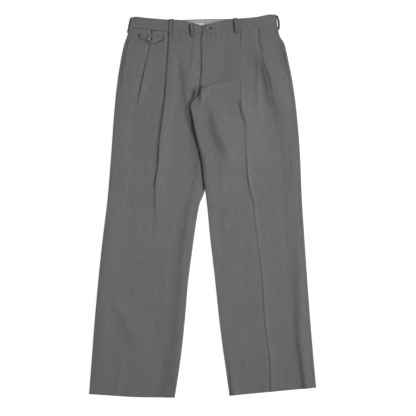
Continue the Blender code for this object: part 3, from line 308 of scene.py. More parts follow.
FOLDS = {
    "right": {
        "beside_fly": fold(
            "soft",
            (442, -64.8, 14, 39.2, 0), (398, -55.6, 16.8, 50.4, 2.2), (358, -46.3, 19.6, 56, 3.8),
            (319, -42.4, 19.6, 56, 3.9), (286, -39.9, 16.8, 44.8, 2), (258, -35.4, 16.8, 33.6, 0),
        ),
        "fly_gather": even_fold(
            "soft", 8.4, 16.8,
            (482, -21.4, 0), (448, -22.8, 1.2), (414, -25.6, 1), (386, -31.2, 1.1), (361, -36.8, 0),
        ),
        "under_gap": fold(
            "sharp",
            (342, -11.3, 14, 5.6, 0), (330, -15, 19.6, 5.6, 6), (322, -16.9, 19.6, 5.6, 9.6),
            (314, -18.9, 16.8, 5.6, 10.6), (305, -21.7, 14, 5.6, 10), (294, -30.4, 14, 7, 5),
            (280, -38.8, 19.6, 8.4, 4.6), (263, -37.4, 19.6, 8.4, 6.4), (249, -35.4, 19.6, 8.4, 7),
            (235, -33.2, 16.8, 8.4, 4.6), (216, -31.5, 14, 8.4, 2), (193, -26.4, 14, 8.4, 1.8),
            (179, -19.7, 19.6, 8.4, 4), (157, -10.8, 28, 7, 5.6), (134, -5.2, 33.6, 7, 5.6),
            (112, -1.2, 36.4, 7, 4.8), (90, 2.1, 28, 8.4, 3.2), (67, 4.4, 16.8, 8.4, 1.6),
            (45, 6.6, 16.8, 8.4, 0),
        ),
        "right_inseam": fold(
            "soft",
            (118, -14.4, 8.4, 33.6, 0), (84, -18.5, 9.8, 33.6, 0.8), (22, -30.4, 14, 44.8, 1.2),
            (-67, -43.2, 16.8, 56, 1.7), (-123, -50.8, 19.6, 61.6, 2), (-227, -58.4, 19.6, 61.6, 2.1),
            (-297, -66.2, 19.6, 61.6, 2.1), (-367, -68.4, 22.4, 61.6, 2.2),
            (-426, -72.6, 25.2, 61.6, 2.3), (-482, -74.6, 33.6, 61.6, 2.6),
            (-535, -77.4, 36.4, 61.6, 2.8),
        ),
        "right_low_diagonal": fold(
            "soft",
            (-207, -266.4, 19.6, 56, 0), (-255, -249.6, 22.4, 56, 1), (-297, -228.6, 25.2, 61.6, 1.8),
            (-353, -202, 25.2, 61.6, 1.8), (-403, -181, 22.4, 56, 0.9), (-442, -162.8, 19.6, 56, 0),
        ),
        "right_hem_line": even_fold(
            "soft", 8.4, 22.4,
            (-403, -224.4, 0), (-437, -227.2, 1), (-498, -237, 1.1), (-538, -241.2, 0.8),
        ),
        "right_pleat_deep": even_fold(
            "sharp", 8.4, 33.6,
            (302, -108.2, 0), (269, -112.4, 1.9), (213, -120, 1.6), (168, -125.6, 3),
            (129, -127.8, 0.8), (95, -129.5, 0.8), (62, -133.4, 3), (34, -133.4, 1), (6, -132.3, 1.2),
            (-22, -128.9, 0.6), (-50, -127.3, 0),
        ),
    },
    "left": {
        "inner_roll": fold(
            "round",
            (345, 4, 6, 60, 0), (330, -1.2, 6, 120, 4.6), (318, -5.2, 6, 160, 7),
            (306, -11.2, 5, 190, 7.6), (296.8, -22, 5, 200, 6.8), (280.6, -32.1, 5, 210, 6.4),
            (268, -30.5, 4.5, 220, 7.8), (240.8, -24.3, 4.5, 220, 9), (212.8, -18.2, 6, 220, 9),
            (196, -12.8, 8, 220, 8.4), (179.2, -6.6, 10, 170, 8), (156.8, 1.6, 13, 130, 8.4),
            (134.4, 10, 17, 110, 9), (112, 15, 18, 100, 8.4), (89.6, 15, 15, 100, 6.2),
            (61.6, 16.2, 12, 120, 4.8), (5.6, 21.9, 10, 70, 1.4), (-60, 28, 10, 40, 0),
        ),
        "fly_foot": even_fold(
            "sharp", 5.6, 16.8,
            (342, -3.3, 0.8), (325, -3.9, 2.2), (314, -4.4, 3.4), (297, -5, 3.8), (286, -5.6, 1.6),
            (274, -6.7, 0),
        ),
        "crotch_fold": fold(
            "soft",
            (319, 16.4, 22.4, 168, 0), (297, 22, 22.4, 168, 0.4), (274, 31.8, 25.2, 168, 2.2),
            (252, 34.9, 25.2, 168, 3.9), (230, 38.8, 25.2, 168, 5.9), (207, 43.3, 25.2, 168, 6.8),
            (185, 55.9, 33.6, 168, 8), (162, 69.6, 42, 168, 8.5), (140, 77.4, 47.6, 168, 8),
            (112, 80.8, 47.6, 156.8, 5.4), (67, 87.8, 44.8, 140, 0),
        ),
        "left_inner_line": fold(
            "soft",
            (129, 52.8, 8.4, 25.2, 0), (95, 52.8, 8.4, 28, 0.8), (50, 54.2, 8.4, 28, 0.8),
            (0, 55.6, 8.4, 28, 0),
        ),
        "left_hip_fold": fold(
            "straight",
            (482, 166.2, 11.2, 33.6, 0.4), (459, 167.3, 11.2, 39.2, 1), (437, 168.4, 11.2, 44.8, 2.4),
            (423, 169, 11.2, 50.4, 4), (409, 171.2, 12.3, 56, 5.4), (392, 175.7, 14, 61.6, 6.6),
            (375, 182.4, 17.9, 64.4, 7.9), (358, 188.6, 20.7, 67.2, 8.5), (342, 191.4, 20.2, 67.2, 8.2),
            (325, 195.3, 20.7, 67.2, 7.4), (308, 198.1, 20.7, 67.2, 6.6), (291, 200.9, 19, 67.2, 5.3),
            (274, 205.4, 18.5, 67.2, 3.7), (252, 211, 17.9, 61.6, 2.4), (230, 215.5, 16.8, 56, 1.2),
            (196, 216.6, 16.8, 50.4, 0),
        ),
        "left_hip_line": even_fold(
            "sharp", 5.6, 11.2,
            (448, 153.5, 0), (420, 153.8, 2), (353, 154, 2), (291, 154.6, 1.9), (252, 155.7, 1),
            (218, 156.8, 0),
        ),
        "left_outer_high": even_fold(
            "soft", 8.4, 22.4,
            (196, 248.8, 0), (157, 249.6, 0.7), (95, 251, 0.8), (45, 251.6, 0),
        ),
        "left_outer_low": fold(
            "soft",
            (-17, 260.8, 16.8, 25.2, 0), (-95, 268.4, 19.6, 22.4, 1.3), (-179, 269.5, 19.6, 22.4, 2.4),
            (-263, 271.6, 21, 28, 3), (-375, 274.4, 18.2, 30.8, 3.7), (-437, 281.1, 15.4, 30.8, 4.2),
            (-501, 288.6, 14, 30.8, 4.8), (-535, 292.5, 14, 30.8, 5),
        ),
        "left_hem_corner": fold(
            "soft",
            (-403, 69.6, 8.4, 25.2, 0), (-465, 78, 8.4, 28, 1.8), (-529, 85, 8.4, 28, 2.8),
        ),
        "left_pleat_end": fold(
            "sharp",
            (493, 107.8, 5.6, 16.8, 1), (459, 107, 5.6, 16.8, 1.2), (409, 104.8, 5.6, 16.8, 1.2),
            (370, 104.8, 5.6, 16.8, 1.3), (342, 107, 5.6, 22.4, 1.5), (311, 107.5, 7, 56, 2.2),
            (288, 107.9, 8.4, 84, 5.6), (274, 108.8, 8.4, 84, 6.4), (255, 114.8, 9, 84, 5.2),
            (238, 120.6, 9.5, 84, 3.6), (213, 124.3, 9.5, 67.2, 3), (185, 124.2, 8.4, 39.2, 1.8),
            (157, 123.6, 8.4, 33.6, 1.1), (129, 124.2, 8.4, 33.6, 0.8), (101, 125.9, 8.4, 33.6, 0),
        ),
        "left_crease": fold(
            "sharp",
            (151, 124, 6.2, 14, 0), (106, 125.7, 6.2, 16.8, 2.4), (50, 133, 6.2, 16.8, 2.5),
            (6, 144.7, 6.2, 16.8, 1.3), (-31, 147.5, 6.2, 16.8, 1.2), (-90, 155.4, 6.2, 16.8, 1),
            (-151, 162.1, 6.2, 16.8, 1.1), (-218, 169.9, 6.2, 16.8, 1.4), (-272, 172.2, 6.2, 16.8, 1.8),
            (-364, 180.6, 6.2, 16.8, 1.6), (-431, 190.1, 6.2, 16.8, 1.4), (-501, 191.8, 6.2, 16.8, 2.4),
            (-538, 192.9, 6.2, 16.8, 2.6),
        ),
        "crotch_line": fold(
            "straight",
            (354, 79.4, 19.6, 44.8, 0), (351, 66.8, 19.6, 44.8, 2.2), (344, 45.8, 18.5, 50.4, 4.4),
            (338, 27.6, 17.9, 50.4, 5.2), (332, 13.6, 16.8, 44.8, 4.8), (325, -0.4, 16.8, 44.8, 2),
            (319, -10.2, 16.8, 44.8, 0),
        ),
    },
}

WAIST_OPEN = 0.00045  # how much further the front's top stays below the waist seam
WAIST_OPEN_END = (0.200, 0.190)  # where that begins, coming from the side
SEAM_OPEN = (0.0001, 0.0012)  # the side seams' gap, below the pockets' mouths and at them
MOUTH_GAP = ((0.325, 0.350), (0.475, 0.455))  # rows over which a mouth's seam opens and closes
MOUTH_LIP = ((0.335, 0.350), (0.462, 0.450))  # rows over which its lip rises and sinks
LIP_SLOPE = (-0.016, -0.002)  # the lip's slope, from the side edge
RIGHT_LEVEL, RIGHT_SLOPE = 0.010, 0.025  # level stretch beside the centre edge, and its slope
LEFT_LEVEL, LEFT_SLOPE = 0.016, 0.028
LEVEL_LEAST = 0.002
LEG_CLEAR = 0.003  # how far the left leg stays level past the right leg's inner edge
CROSSING_CLEAR = 0.002
WRAP_LEAST = 0.0008  # strip beyond the right leg's roll, above where the roll is full
CROSSING_REACH = {"front": 0.160, "back": 0.027}
FLY_TOP_LIFT = 0.0004
FLY_TOP_ROWS = (0.440, 0.490)
FLY_SPREAD = (0.075, 0.016)
FLY_ROWS = (0.270, 0.310)
GAPE_ROWS = (0.440, 0.400)
GAPE_SPREAD = (0.022, 0.004)
COVER_SPAN = (-0.0022, 0.0004)  # the right leg is free before this span of the left's edge
COVER_ROWS = (0.010, 0.050)
WAIST_ROWS = (0.405, 0.485)  # the front rises to the band over these rows
SIDE_SLOPE = (-0.075, 0.004)
INNER_SLOPE = 0.035

# Waves of the cloth: seed, how many, shortest and longest, and how far they are drawn out along y.
RIPPLE = 0.00018  # unevenness of the pressed cloth
RIPPLE_WAVES = (3, 26, (0.028, 0.090), 3)
PUCKER = 0.00016  # small gathers below the waist seam
PUCKER_ROWS = (0.445, 0.485)
PUCKER_WAVES = (5, 9, (0.007, 0.016), 6)
BAND_CROWN = 0.0004
BAND_RIPPLE = 0.00012
BAND_HEIGHT = 0.030
BAND_FLAT = 0.02  # how far from the side its crown is full
LOOP_SLOPE = (0.001, 0.009)  # its back rises over this span beside a loop below it
BAND_WAVES = (11, 12, (0.02, 0.07), 1)
LINING_CLEAR = 0.0001
LINING_RIPPLE = 0.00012
LINING_WAVES = (17, 10, (0.008, 0.030), 1)
LABEL_CLEAR = 0.0002
LABEL_RIPPLE = 0.00010
LABEL_WAVES = (23, 8, (0.010, 0.025), 1)

FLAP_CLEAR = 0.0001
FLAP_PRESSED = 0.0008  # how much deeper its outer end is pressed
FLAP_PRESSED_FROM = 0.4  # share of its length where that begins
FLAP_EVENED = (4, 16)  # rows and columns over which the cloth below is evened out
FLAP_STITCH = 0.0018  # stitching inside the flap's edge
FLAP_DENT, FLAP_DENT_WIDTH = 0.00026, 0.0007
FLAP_THINNED = (0.0005, 0.0012)  # how much thinner its edge is, at its inner and its outer end
FLAP_THINNED_WIDTH = 0.0040
LOOP_CROWN, LOOP_DENT = 0.00022, 0.00018
LOOP_DENT_PLACE, LOOP_DENT_WIDTH = 0.36, 0.06
LOOP_FOOT = 0.004  # the flat foot that is sewn down
LOOP_STATIONS = 40
SIDE_LOOP_X = 0.205

STITCH_PITCH = 0.0027
DARK_PITCH = 0.0024
FLAP_PITCH = 0.0022
THREAD = 0.00038
FINE_THREAD = 0.00030
BUTTON_THREAD = 0.00050
# Painted shade along the flap's edge: the thickness of its dark line towards the fly, and its place inside
# the edge.
FLAP_SHADE_THREAD = 0.00260
FLAP_SHADE_INSET = 0.0004  # place of the dark line of painted shade along the flap's edge, inside that edge
# Painted shade: thickness of the dark run across each front loop's foot, standing for the shade below its
# end.
LOOP_FOOT_SHADE_THREAD = 0.00080
LOOP_EDGE_SHADE_RUNS = (0.47, 0.37)  # the near-black runs beside each edge, in widths of a loop: the outer one a line of painted shade at the edge, the inner one edge stitching that is made dark as painted shade too
BAR_SPACING = 0.00025  # between the threads of a bar across a button
BAR_HEIGHT = 0.36  # share of a button's thickness
SHANK_SHARE, SHANK_SUNK = 0.6, 0.0006  # how far the shank is drawn in, and how deep it goes
TACK_PITCH = 0.00042
TACK_WIDTH = 0.0014
POCKET_STITCH = 0.0055
POCKET_TACK, POCKET_TACK_LENGTH = 0.003, 0.006
BUTTONHOLE_SHIFT = 0.0035  # from its button's middle
BUTTONHOLE_LENGTH, BUTTONHOLE_EDGE, BUTTONHOLE_STITCH = 0.019, 0.0007, 0.0013
FLY_STITCH = 0.039
FLY_STITCH_TOP = 0.4825
FLY_BEND = 0.372
FLY_STITCH_END = (0.001, 0.331)
# Painted shade: thickness of the dark threads over the right side loop.
SIDE_LOOP_SHADE_THREAD = 0.00140
# Painted shade on the right side loop, whose face is turned from the light: two runs of dark stitches, each
# a line of x, y.
SIDE_LOOP_SHADE_LINES = ([(-0.2030, 0.5235), (-0.2096, 0.4885)], [(-0.2008, 0.5235), (-0.2073, 0.4885)])

ROW_ENDS = (SEAM_ROW, 0.300, 0.268, -0.060, HEM_ROW)
ROW_COUNTS = (62, 22, 84, 96)
FRONT_STEPS = {
    "curl": 6, "level": 14, "slope": 12, "centre": 18, "climb": 12, "turn": 7, "between": 22, "side": 36,
}
BACK_STEPS = {"side": 12, "floor": 40, "slope": 10, "level": 6, "turn": 8, "wrap": 7}
BAND_STEPS = {"rows": 14, "lap": 22, "front": 60, "turn": 14, "back": 30}

# Darkest and lightest shade of each cloth and thread.
SHADES = {
    "grey_suiting": ((0.090, 0.090, 0.0935), (0.186, 0.186, 0.193)),
    "band_lining": ((0.316, 0.310, 0.343), (0.428, 0.422, 0.462)),
    "bare_label": ((0.56, 0.55, 0.56), (0.72, 0.71, 0.72)),
    "grey_thread": ((0.075, 0.076, 0.080), (0.130, 0.132, 0.138)),
    # Near-black thread: real stitching, and also the lines of painted shade along the flap's and loops'
    # edges.
    "near_black_thread_and_shade": ((0.004, 0.004, 0.004), (0.012, 0.012, 0.013)),
    "button_thread": ((0.010, 0.009, 0.008), (0.030, 0.027, 0.025)),
}
HORN_SHADES = [
    (0.36, (0.050, 0.040, 0.030)), (0.47, (0.150, 0.126, 0.096)),
    (0.56, (0.280, 0.240, 0.190)), (0.68, (0.470, 0.415, 0.335)),
]
# Painted shade on the buttons: the right side of each is darkened, as if its dished middle were in shade.
HORN_PAINTED_SHADE = (0.020, 0.015, 0.012)
HORN_PAINTED_SHADE_SPAN = (0.0018, 0.0042)  # across a button, where it turns dark with painted shade

VIEW_CENTRE = (0.0150, -0.0056)
VIEW_WIDTH = 1.1648  # what the square view takes in, on the surface
VIEW_END = 60
CAMERA_HEIGHT = 5.0
FLOOR_SIZE = 14.0
FLOOR_BELOW = -0.0004
FLOOR_GLOW = 0.90
FLOOR_COLOUR = (0.22, 0.22, 0.22, 1)
# Lights: name, energy, sides, place, aim, and cone in degrees.
LIGHTS = [
    ("key", 12.9, (1.5, 1.5), (4.4, 0.5, 4.0), (0, 0.03, 0), 30),
    ("top", 13, (1.6, 1.6), (0.6, 0.1, 3.4), (0, -0.05, 0), 180),
]
ROOM_LIGHT = (-0.1, 0.3, 0.03, 0.17)  # two heights in the sky, and how bright it is at each
RING = np.linspace(0, math.tau, 6, endpoint=False)  # angles round a thread


# ---------------------------------------------------------------- small helpers
def read(sizes, column, place):
    """A column's value at a place: a smooth curve through the rows, with no overshoot."""
    places, values = next(iter(sizes.values())), sizes[column]
    slopes = np.diff(values) / np.diff(places)
    before, after = slopes[:-1], slopes[1:]
    total = np.where(before + after == 0, 1, before + after)
    inner = np.where(before * after > 0, 2 * before * after / total, 0)
    slope = np.concatenate([slopes[:1], inner, slopes[-1:]])
    place = np.clip(place, places[0], places[-1])
    i = np.clip(np.searchsorted(places, place) - 1, 0, len(places) - 2)
    width = places[i + 1] - places[i]
    t = (place - places[i]) / width
    return (
        (1 + 2 * t) * (1 - t) ** 2 * values[i]
        + t * t * (3 - 2 * t) * values[i + 1]
        + t * (1 - t) ** 2 * width * slope[i]
        - t * t * (1 - t) * width * slope[i + 1]
    )


def ramp(start, end, value):
    """0 at start and 1 at end, smooth between; start may be the larger."""
    t = np.clip((value - start) / (end - start), 0, 1)
    return t * t * (3 - 2 * t)


def mix(first, second, share):
    return first + (second - first) * share


def between(spans, value):
    """1 between two spans, falling smoothly to 0 over each of them."""
    return ramp(*spans[0], value) * ramp(*spans[1], value)


def length_along(points):
    """How far each point of a line is from its start, along the line."""
    return np.concatenate([[0], np.cumsum(np.linalg.norm(np.diff(points, axis=0), axis=1))])


def unit(ways):
    """Directions of length 1."""
    return ways / np.linalg.norm(ways, axis=-1, keepdims=True)


def spread(start, end, steps):
    """Evenly spaced places after start, up to end."""
    return list(np.linspace(start, end, steps + 1)[1:])


class Pen:
    """Draws a section as straight runs and arcs, from a place and a heading."""

    def __init__(self, out, z, heading=0.0):
        self.points = [(out, z)]
        self.heading = heading

    def move(self, length):
        out, z = self.points[-1]
        self.points.append((out + length * math.cos(self.heading), z + length * math.sin(self.heading)))

    def turn(self, angle, radius, steps):
        """Turn left by an angle, or right if it is negative."""
        length = max(radius * abs(angle), TURN_LENGTH * (1 - abs(angle)))
        step = angle / steps
        chord = length / steps * (math.sin(step / 2) / (step / 2) if abs(step) > 1e-6 else 1)
        for _ in range(steps):
            self.heading += step / 2
            self.move(chord)
            self.heading += step / 2


# ---------------------------------------------------------------- where the cloth lies
def waist_seam(x, back):
    """The waist seam's y on the front, on the back, or between them round the side."""
    behind = BACK_SEAM_LOW + BACK_SEAM_TILT * x + BACK_SEAM_BEND * x * x
    return mix(read(FRONT_SEAM, "y", x), behind, back)


def row_height(leg, out, row, back=0.0):
    """The y of a panel's row; the top row follows the waist seam and the last one the hem."""
    opened = SEAM_GAP / 2 + WAIST_OPEN * (1 - back) * ramp(*WAIST_OPEN_END, out)
    seam = waist_seam(SIDES[leg] * out, back) - opened
    to_seam = ramp(SEAM_REACH, SEAM_ROW, row) * (seam - SEAM_ROW)
    to_hem = ramp(HEM_REACH, HEM_ROW, row) * (read(HEM[leg], "y", out) - HEM_ROW)
    return row + to_seam + to_hem


def edge_at(leg, row, sizes, back=0.0):
    """Where an edge crosses a row: its out and y."""
    y = row
    for _ in range(3):
        out = float(read(sizes, "out", y))
        y = float(row_height(leg, out, row, back))
    return out, y


def crossing_lift(x, y, begins, settled, reach):
    """How far the left leg is raised where it lies on the right one, and for a reach beyond it."""
    edge = -read(INNER_RIGHT, "out", y)
    across = 1 - ramp(edge + CROSSING_CLEAR, edge + reach, x)
    return CROSSING * across * between(((begins, settled), (CROSSING_END, CROSSING_FOOT)), y)


def slope_places(leg, y, first):
    """Where the raised stretch beside the centre edge ends, and where its slope does."""
    if leg == "right":
        return first + RIGHT_LEVEL, first + RIGHT_LEVEL + RIGHT_SLOPE
    over_leg = -float(read(INNER_RIGHT, "out", y)) + LEG_CLEAR
    level = max(first + LEVEL_LEAST, float(mix(over_leg, LEFT_LEVEL, ramp(CURL_TOP, FLY_FOOT, y))))
    return level, level + LEFT_SLOPE


def fly_lift(x, y):
    """How far the left front is raised where it laps over the right one."""
    lap = (FLY_LIFT + FLY_TOP_LIFT * ramp(*FLY_TOP_ROWS, y)) * ramp(*FLY_SPREAD, x)
    return lap + FLY_GAPE * ramp(*GAPE_ROWS, y) * ramp(*GAPE_SPREAD, x)


def ground(leg, out, y):
    """The lowest that the front cloth lies."""
    if leg == "right":
        return FRONT_MID + 0 * out
    over_leg = crossing_lift(out, y, FLY_FOOT, CURL_TOP, CROSSING_REACH["front"])
    return FRONT_MID + np.maximum(over_leg, fly_lift(out, y) * ramp(*FLY_ROWS, y))


def covered(x, y):
    """1 where the right leg is pressed flat under the left one, 0 in the open."""
    edge = read(FRONT_EDGE["left"], "out", y)
    return ramp(*COVER_SPAN, x - edge) * ramp(*COVER_ROWS, y)


def along_line(line, x, y):
    """How far points are from a line, and which share of the line each is nearest to."""
    line = np.array(line)
    lengths = np.linalg.norm(np.diff(line, axis=0), axis=1)
    best = np.full(np.shape(x), np.inf)
    share = np.zeros(np.shape(x))
    for k, (start, way) in enumerate(zip(line[:-1], np.diff(line, axis=0))):
        t = np.clip(((x - start[0]) * way[0] + (y - start[1]) * way[1]) / lengths[k] ** 2, 0, 1)
        gap = np.hypot(x - start[0] - t * way[0], y - start[1] - t * way[1])
        share = np.where(gap < best, (lengths[:k].sum() + t * lengths[k]) / lengths.sum(), share)
        best = np.minimum(gap, best)
    return best, share


def soft_folds(x, y):
    """Height of the soft hollows: round across, and fading along each line."""
    total = np.zeros(np.shape(x))
    for hollow in SOFT_FOLDS:
        gap, share = along_line(hollow["line"], x, y)
        fade = np.sin(math.pi * np.clip(share * 0.9 + 0.05, 0, 1))
        total += hollow["height"] * fade * np.exp(-((gap / hollow["width"]) ** 2))
    return total


def fold_height(leg, x, y):
    """How far the folds raise the front cloth: nothing where the left leg presses on the right."""
    total = np.zeros(np.shape(x))
    for kind, form in FOLDS[leg].values():
        crest, before, after, height = (read(form, name, y) for name in FOLD_COLUMNS.split()[1:])
        gap = x - crest
        share = np.clip(np.where(gap < 0, 1 + gap / before, 1 - gap / after), 0, 1)
        shape = share * share * (3 - 2 * share)
        if kind == "sharp":
            shape = share * share
        elif kind == "straight":
            shape = np.where(gap < 0, share, shape)
        elif kind == "round":
            shape = np.where(gap < 0, np.sqrt(1 - (1 - share) ** 2), shape)
        total += height * shape
    return total * (1 - covered(x, y)) if leg == "right" else total


def waves(x, y, seed, count, lengths, stretch):
    """Uneven waves of about unit height, drawn out along y by the stretch."""
    chance = np.random.default_rng(seed)
    total = np.zeros(np.shape(x))
    for _ in range(count):
        length, turn = chance.uniform(*lengths), chance.normal(0, 0.4)
        across = x * math.cos(turn) + y * math.sin(turn) / stretch
        total += np.sin(math.tau * (across / length + chance.uniform()))
    return total / math.sqrt(count / 2)


def unevenness(x, y):
    """Slight waves all over, and small gathers that hang from the waist seam."""
    gathers = PUCKER * ramp(*PUCKER_ROWS, y) * waves(x, y, *PUCKER_WAVES)
    return RIPPLE * waves(x, y, *RIPPLE_WAVES) + gathers


def rest_height(leg, out, y):
    """Height of the front cloth away from its pleats."""
    x = SIDES[leg] * out
    side = read(SIDE_EDGE[leg], "out", y) - SIDE_STRIP
    inner = read(FRONT_EDGE[leg], "out", y)
    waist = ramp(*WAIST_ROWS, y)
    by_side = ramp(*SIDE_SLOPE, out - side)
    if leg == "right":
        roll = (read(RIGHT_ROLL, "radius", y) - FOLD_RADIUS) * 2 / EDGE_RISE
    else:
        curl = 2 * CURL_RADIUS + CURL_GAP - 2 * FOLD_RADIUS
        roll = curl / EDGE_RISE * ramp(FLY_FOOT, CURL_TOP, y)
    by_inner = roll * (1 - ramp(inner, inner + INNER_SLOPE, out))
    rise = EDGE_RISE * (1 - (1 - waist) * (1 - by_side) * (1 - by_inner))
    middle = np.clip((out - inner) / (side - inner), 0, 1)
    slack = 4 * middle * (1 - middle) * PUFF + soft_folds(x, y) + unevenness(x, y)
    if leg == "right":
        slack = slack * (1 - covered(x, y))
    pocket = POCKET_LIP * ramp(*LIP_SLOPE, out - side) * between(MOUTH_LIP, y)
    lowest = ground(leg, out, y)
    return np.maximum(lowest + rise + slack, lowest) + pocket


def pleat_at(leg, row, sizes, radius):
    """One pleat's turn at a row, and the heights and widths that lead to and from it."""
    edge, y = edge_at(leg, row, sizes)
    now = {name: float(read(sizes, name, y)) for name in PLEAT_COLUMNS.split()[1:]}
    pen = Pen(0, 0)
    angle = math.radians(now["turn"])
    pen.turn(-angle, radius, FRONT_STEPS["turn"])
    crest = max(out for out, z in pen.points)
    pen.move(now["under"])
    pen.turn(angle, radius, FRONT_STEPS["turn"])
    path = np.array(pen.points)
    low = float(ground(leg, edge, y)) + now["lift"]
    high = low - path[-1, 1]
    path = path + (edge - crest, high)
    inmost = path[:, 0].min() - PLEAT_CLEAR
    outmost = max(edge, path[-1, 0]) + PLEAT_CLEAR
    return {
        "path": path,
        "low": low,
        "high": high,
        "climb": (inmost - now["near"], inmost),
        "fall": (outmost, outmost + now["far"]),
    }


def layer_height(leg, out, y, before=None, after=None):
    """Height of the cloth between the pleat nearer the centre and the one nearer the side."""
    z = rest_height(leg, out, y)
    if before:
        z = mix(before["low"], z, ramp(*before["fall"], out))
    if after:
        z = mix(z, after["high"], ramp(*after["climb"], out))
    return z


def front_section(leg, row):
    """The front panel at a row: centre edge, two pleats, side seam."""
    inner, y_inner = edge_at(leg, row, FRONT_EDGE[leg])
    side, y_side = edge_at(leg, row, SIDE_EDGE[leg])
    side -= SIDE_STRIP + side_gap(y_side) / 2
    pleats = zip(PLEATS[leg], PLEAT_RADII[leg])
    main, second = (pleat_at(leg, row, sizes, radius) for sizes, radius in pleats)
    steps = FRONT_STEPS

    curl = math.pi / 2 * float(ramp(FLY_FOOT, CURL_TOP, row)) if leg == "left" else 0
    start = inner + (SEAM_OPEN[0] / 2 if leg == "right" else CLOTH / 2 * math.sin(curl))
    pen = Pen(start, 0, curl)
    pen.turn(-curl, CURL_RADIUS, steps["curl"])
    top_out, top_z = pen.points[-1]
    height = layer_height(leg, top_out, y_inner, after=main)
    section = [(out, z - top_z + height) for out, z in pen.points]

    def lay(outs, before=None, after=None):
        outs = np.array(outs)
        z = layer_height(leg, outs, row_height(leg, outs, row), before, after)
        section.extend(zip(outs, z))

    level, foot = slope_places(leg, y_inner, top_out)
    shares = np.linspace(0, 1, steps["level"] + 1)[1:] ** 2
    lay(mix(top_out, level, shares), after=main)
    lay(spread(level, foot, steps["slope"]), after=main)
    lay(spread(foot, main["climb"][0], steps["centre"]), after=main)
    lay(spread(*main["climb"], steps["climb"]), after=main)
    crease = len(section)
    section.extend(main["path"])
    lay([main["fall"][0]], main, second)
    shares = np.linspace(0, 1, steps["between"] + 1)[1:] ** 1.6
    lay(mix(main["fall"][0], second["climb"][1], shares), main, second)
    section.extend(second["path"])
    lay([second["fall"][0]], second)
    lay(spread(second["fall"][0], side, steps["side"]), second)
    section = np.array(section)
    section[:, 1] += fold_height(leg, SIDES[leg] * section[:, 0], row_height(leg, section[:, 0], row))
    return np.column_stack([section, np.zeros(len(section))]), crease


def side_gap(y):
    """How far a side seam stands open: a little at the pocket's mouth."""
    return float(mix(*SEAM_OPEN, between(MOUTH_GAP, y)))


def lifted(leg, points, row, back, radius):
    """A roll round a leg's edge, with its top raised as the folds raise the front beside it."""
    points = np.array(points)
    top = np.clip((points[:, 1] - BACK_MID) / (2 * radius), 0, 1)
    y = row_height(leg, points[:, 0], row, back)
    points[:, 1] += top * fold_height(leg, SIDES[leg] * points[:, 0], y)
    return [tuple(point) for point in points]


def back_section(leg, row):
    """The back panel at a row: side seam, round the side, along the surface, inner edge."""
    steps = BACK_STEPS
    side, y_side = edge_at(leg, row, SIDE_EDGE[leg])
    side -= CLOTH / 2
    gap = side_gap(y_side)
    inner, y_inner = edge_at(leg, row, BACK_EDGE[leg], back=1.0)
    pen = Pen(side + CLOTH / 2 - SIDE_STRIP + gap / 2, BACK_MID + 2 * SIDE_RADIUS)
    for _ in range(3):
        pen.move((SIDE_STRIP - CLOTH / 2 - gap / 2 - SIDE_RADIUS) / 3)
    pen.turn(-math.pi, SIDE_RADIUS, steps["side"])
    points = [(out, z, 0.0) for out, z in pen.points[:4]]
    points += [(out, z, (k + 1) / steps["side"]) for k, (out, z) in enumerate(pen.points[4:])]
    points = lifted(leg, points, row, 0.0, SIDE_RADIUS)

    folded = min(max((CROTCH - row) / FOLD_OVER, 0), 1)
    if leg == "right":
        radius, angle = float(read(RIGHT_ROLL, "radius", y_inner)), math.pi * folded
    else:
        radius, angle = CURL_RADIUS, math.pi / 2 * folded
    bend = inner + (radius + CLOTH / 2 if folded else TURN_LENGTH)
    level, foot = slope_places(leg, y_inner, bend)
    outs = spread(points[-1][0], foot, steps["floor"])
    outs += spread(foot, level, steps["slope"]) + spread(level, bend, steps["level"])
    outs = np.array(outs)
    heights = np.full(len(outs), BACK_MID)
    if leg == "left":
        y = row_height(leg, outs, row, 1.0)
        heights = heights + crossing_lift(outs, y, CURL_TOP, CROTCH, CROSSING_REACH["back"])
    points += [(out, z, 1.0) for out, z in zip(outs, heights)]

    pen = Pen(points[-1][0], points[-1][1], math.pi)
    pen.turn(-angle, radius, steps["turn"])
    if leg == "right":
        inseam = edge_at(leg, row, FRONT_EDGE[leg])[0] - SEAM_OPEN[0] / 2
        length = inseam - pen.points[-1][0] if folded == 1 else WRAP_LEAST
        for _ in range(steps["wrap"]):
            pen.move(length / steps["wrap"])
    wrapped = [(out, z, 1.0) for out, z in pen.points[1:]]
    if leg == "right" and folded == 1:
        wrapped = lifted(leg, wrapped, row, 1.0, radius)
    return np.array(points + wrapped), 0


def back_band_lift(leg, out):
    """The back of the band rises over the loop that lies between it and the surface."""
    gap = np.abs(out - BACK_LOOP_OUT[leg])
    return (LOOP_CLOTH + SEAM_GAP) * (1 - ramp(*LOOP_SLOPE, gap - LOOP_WIDTH / 2))


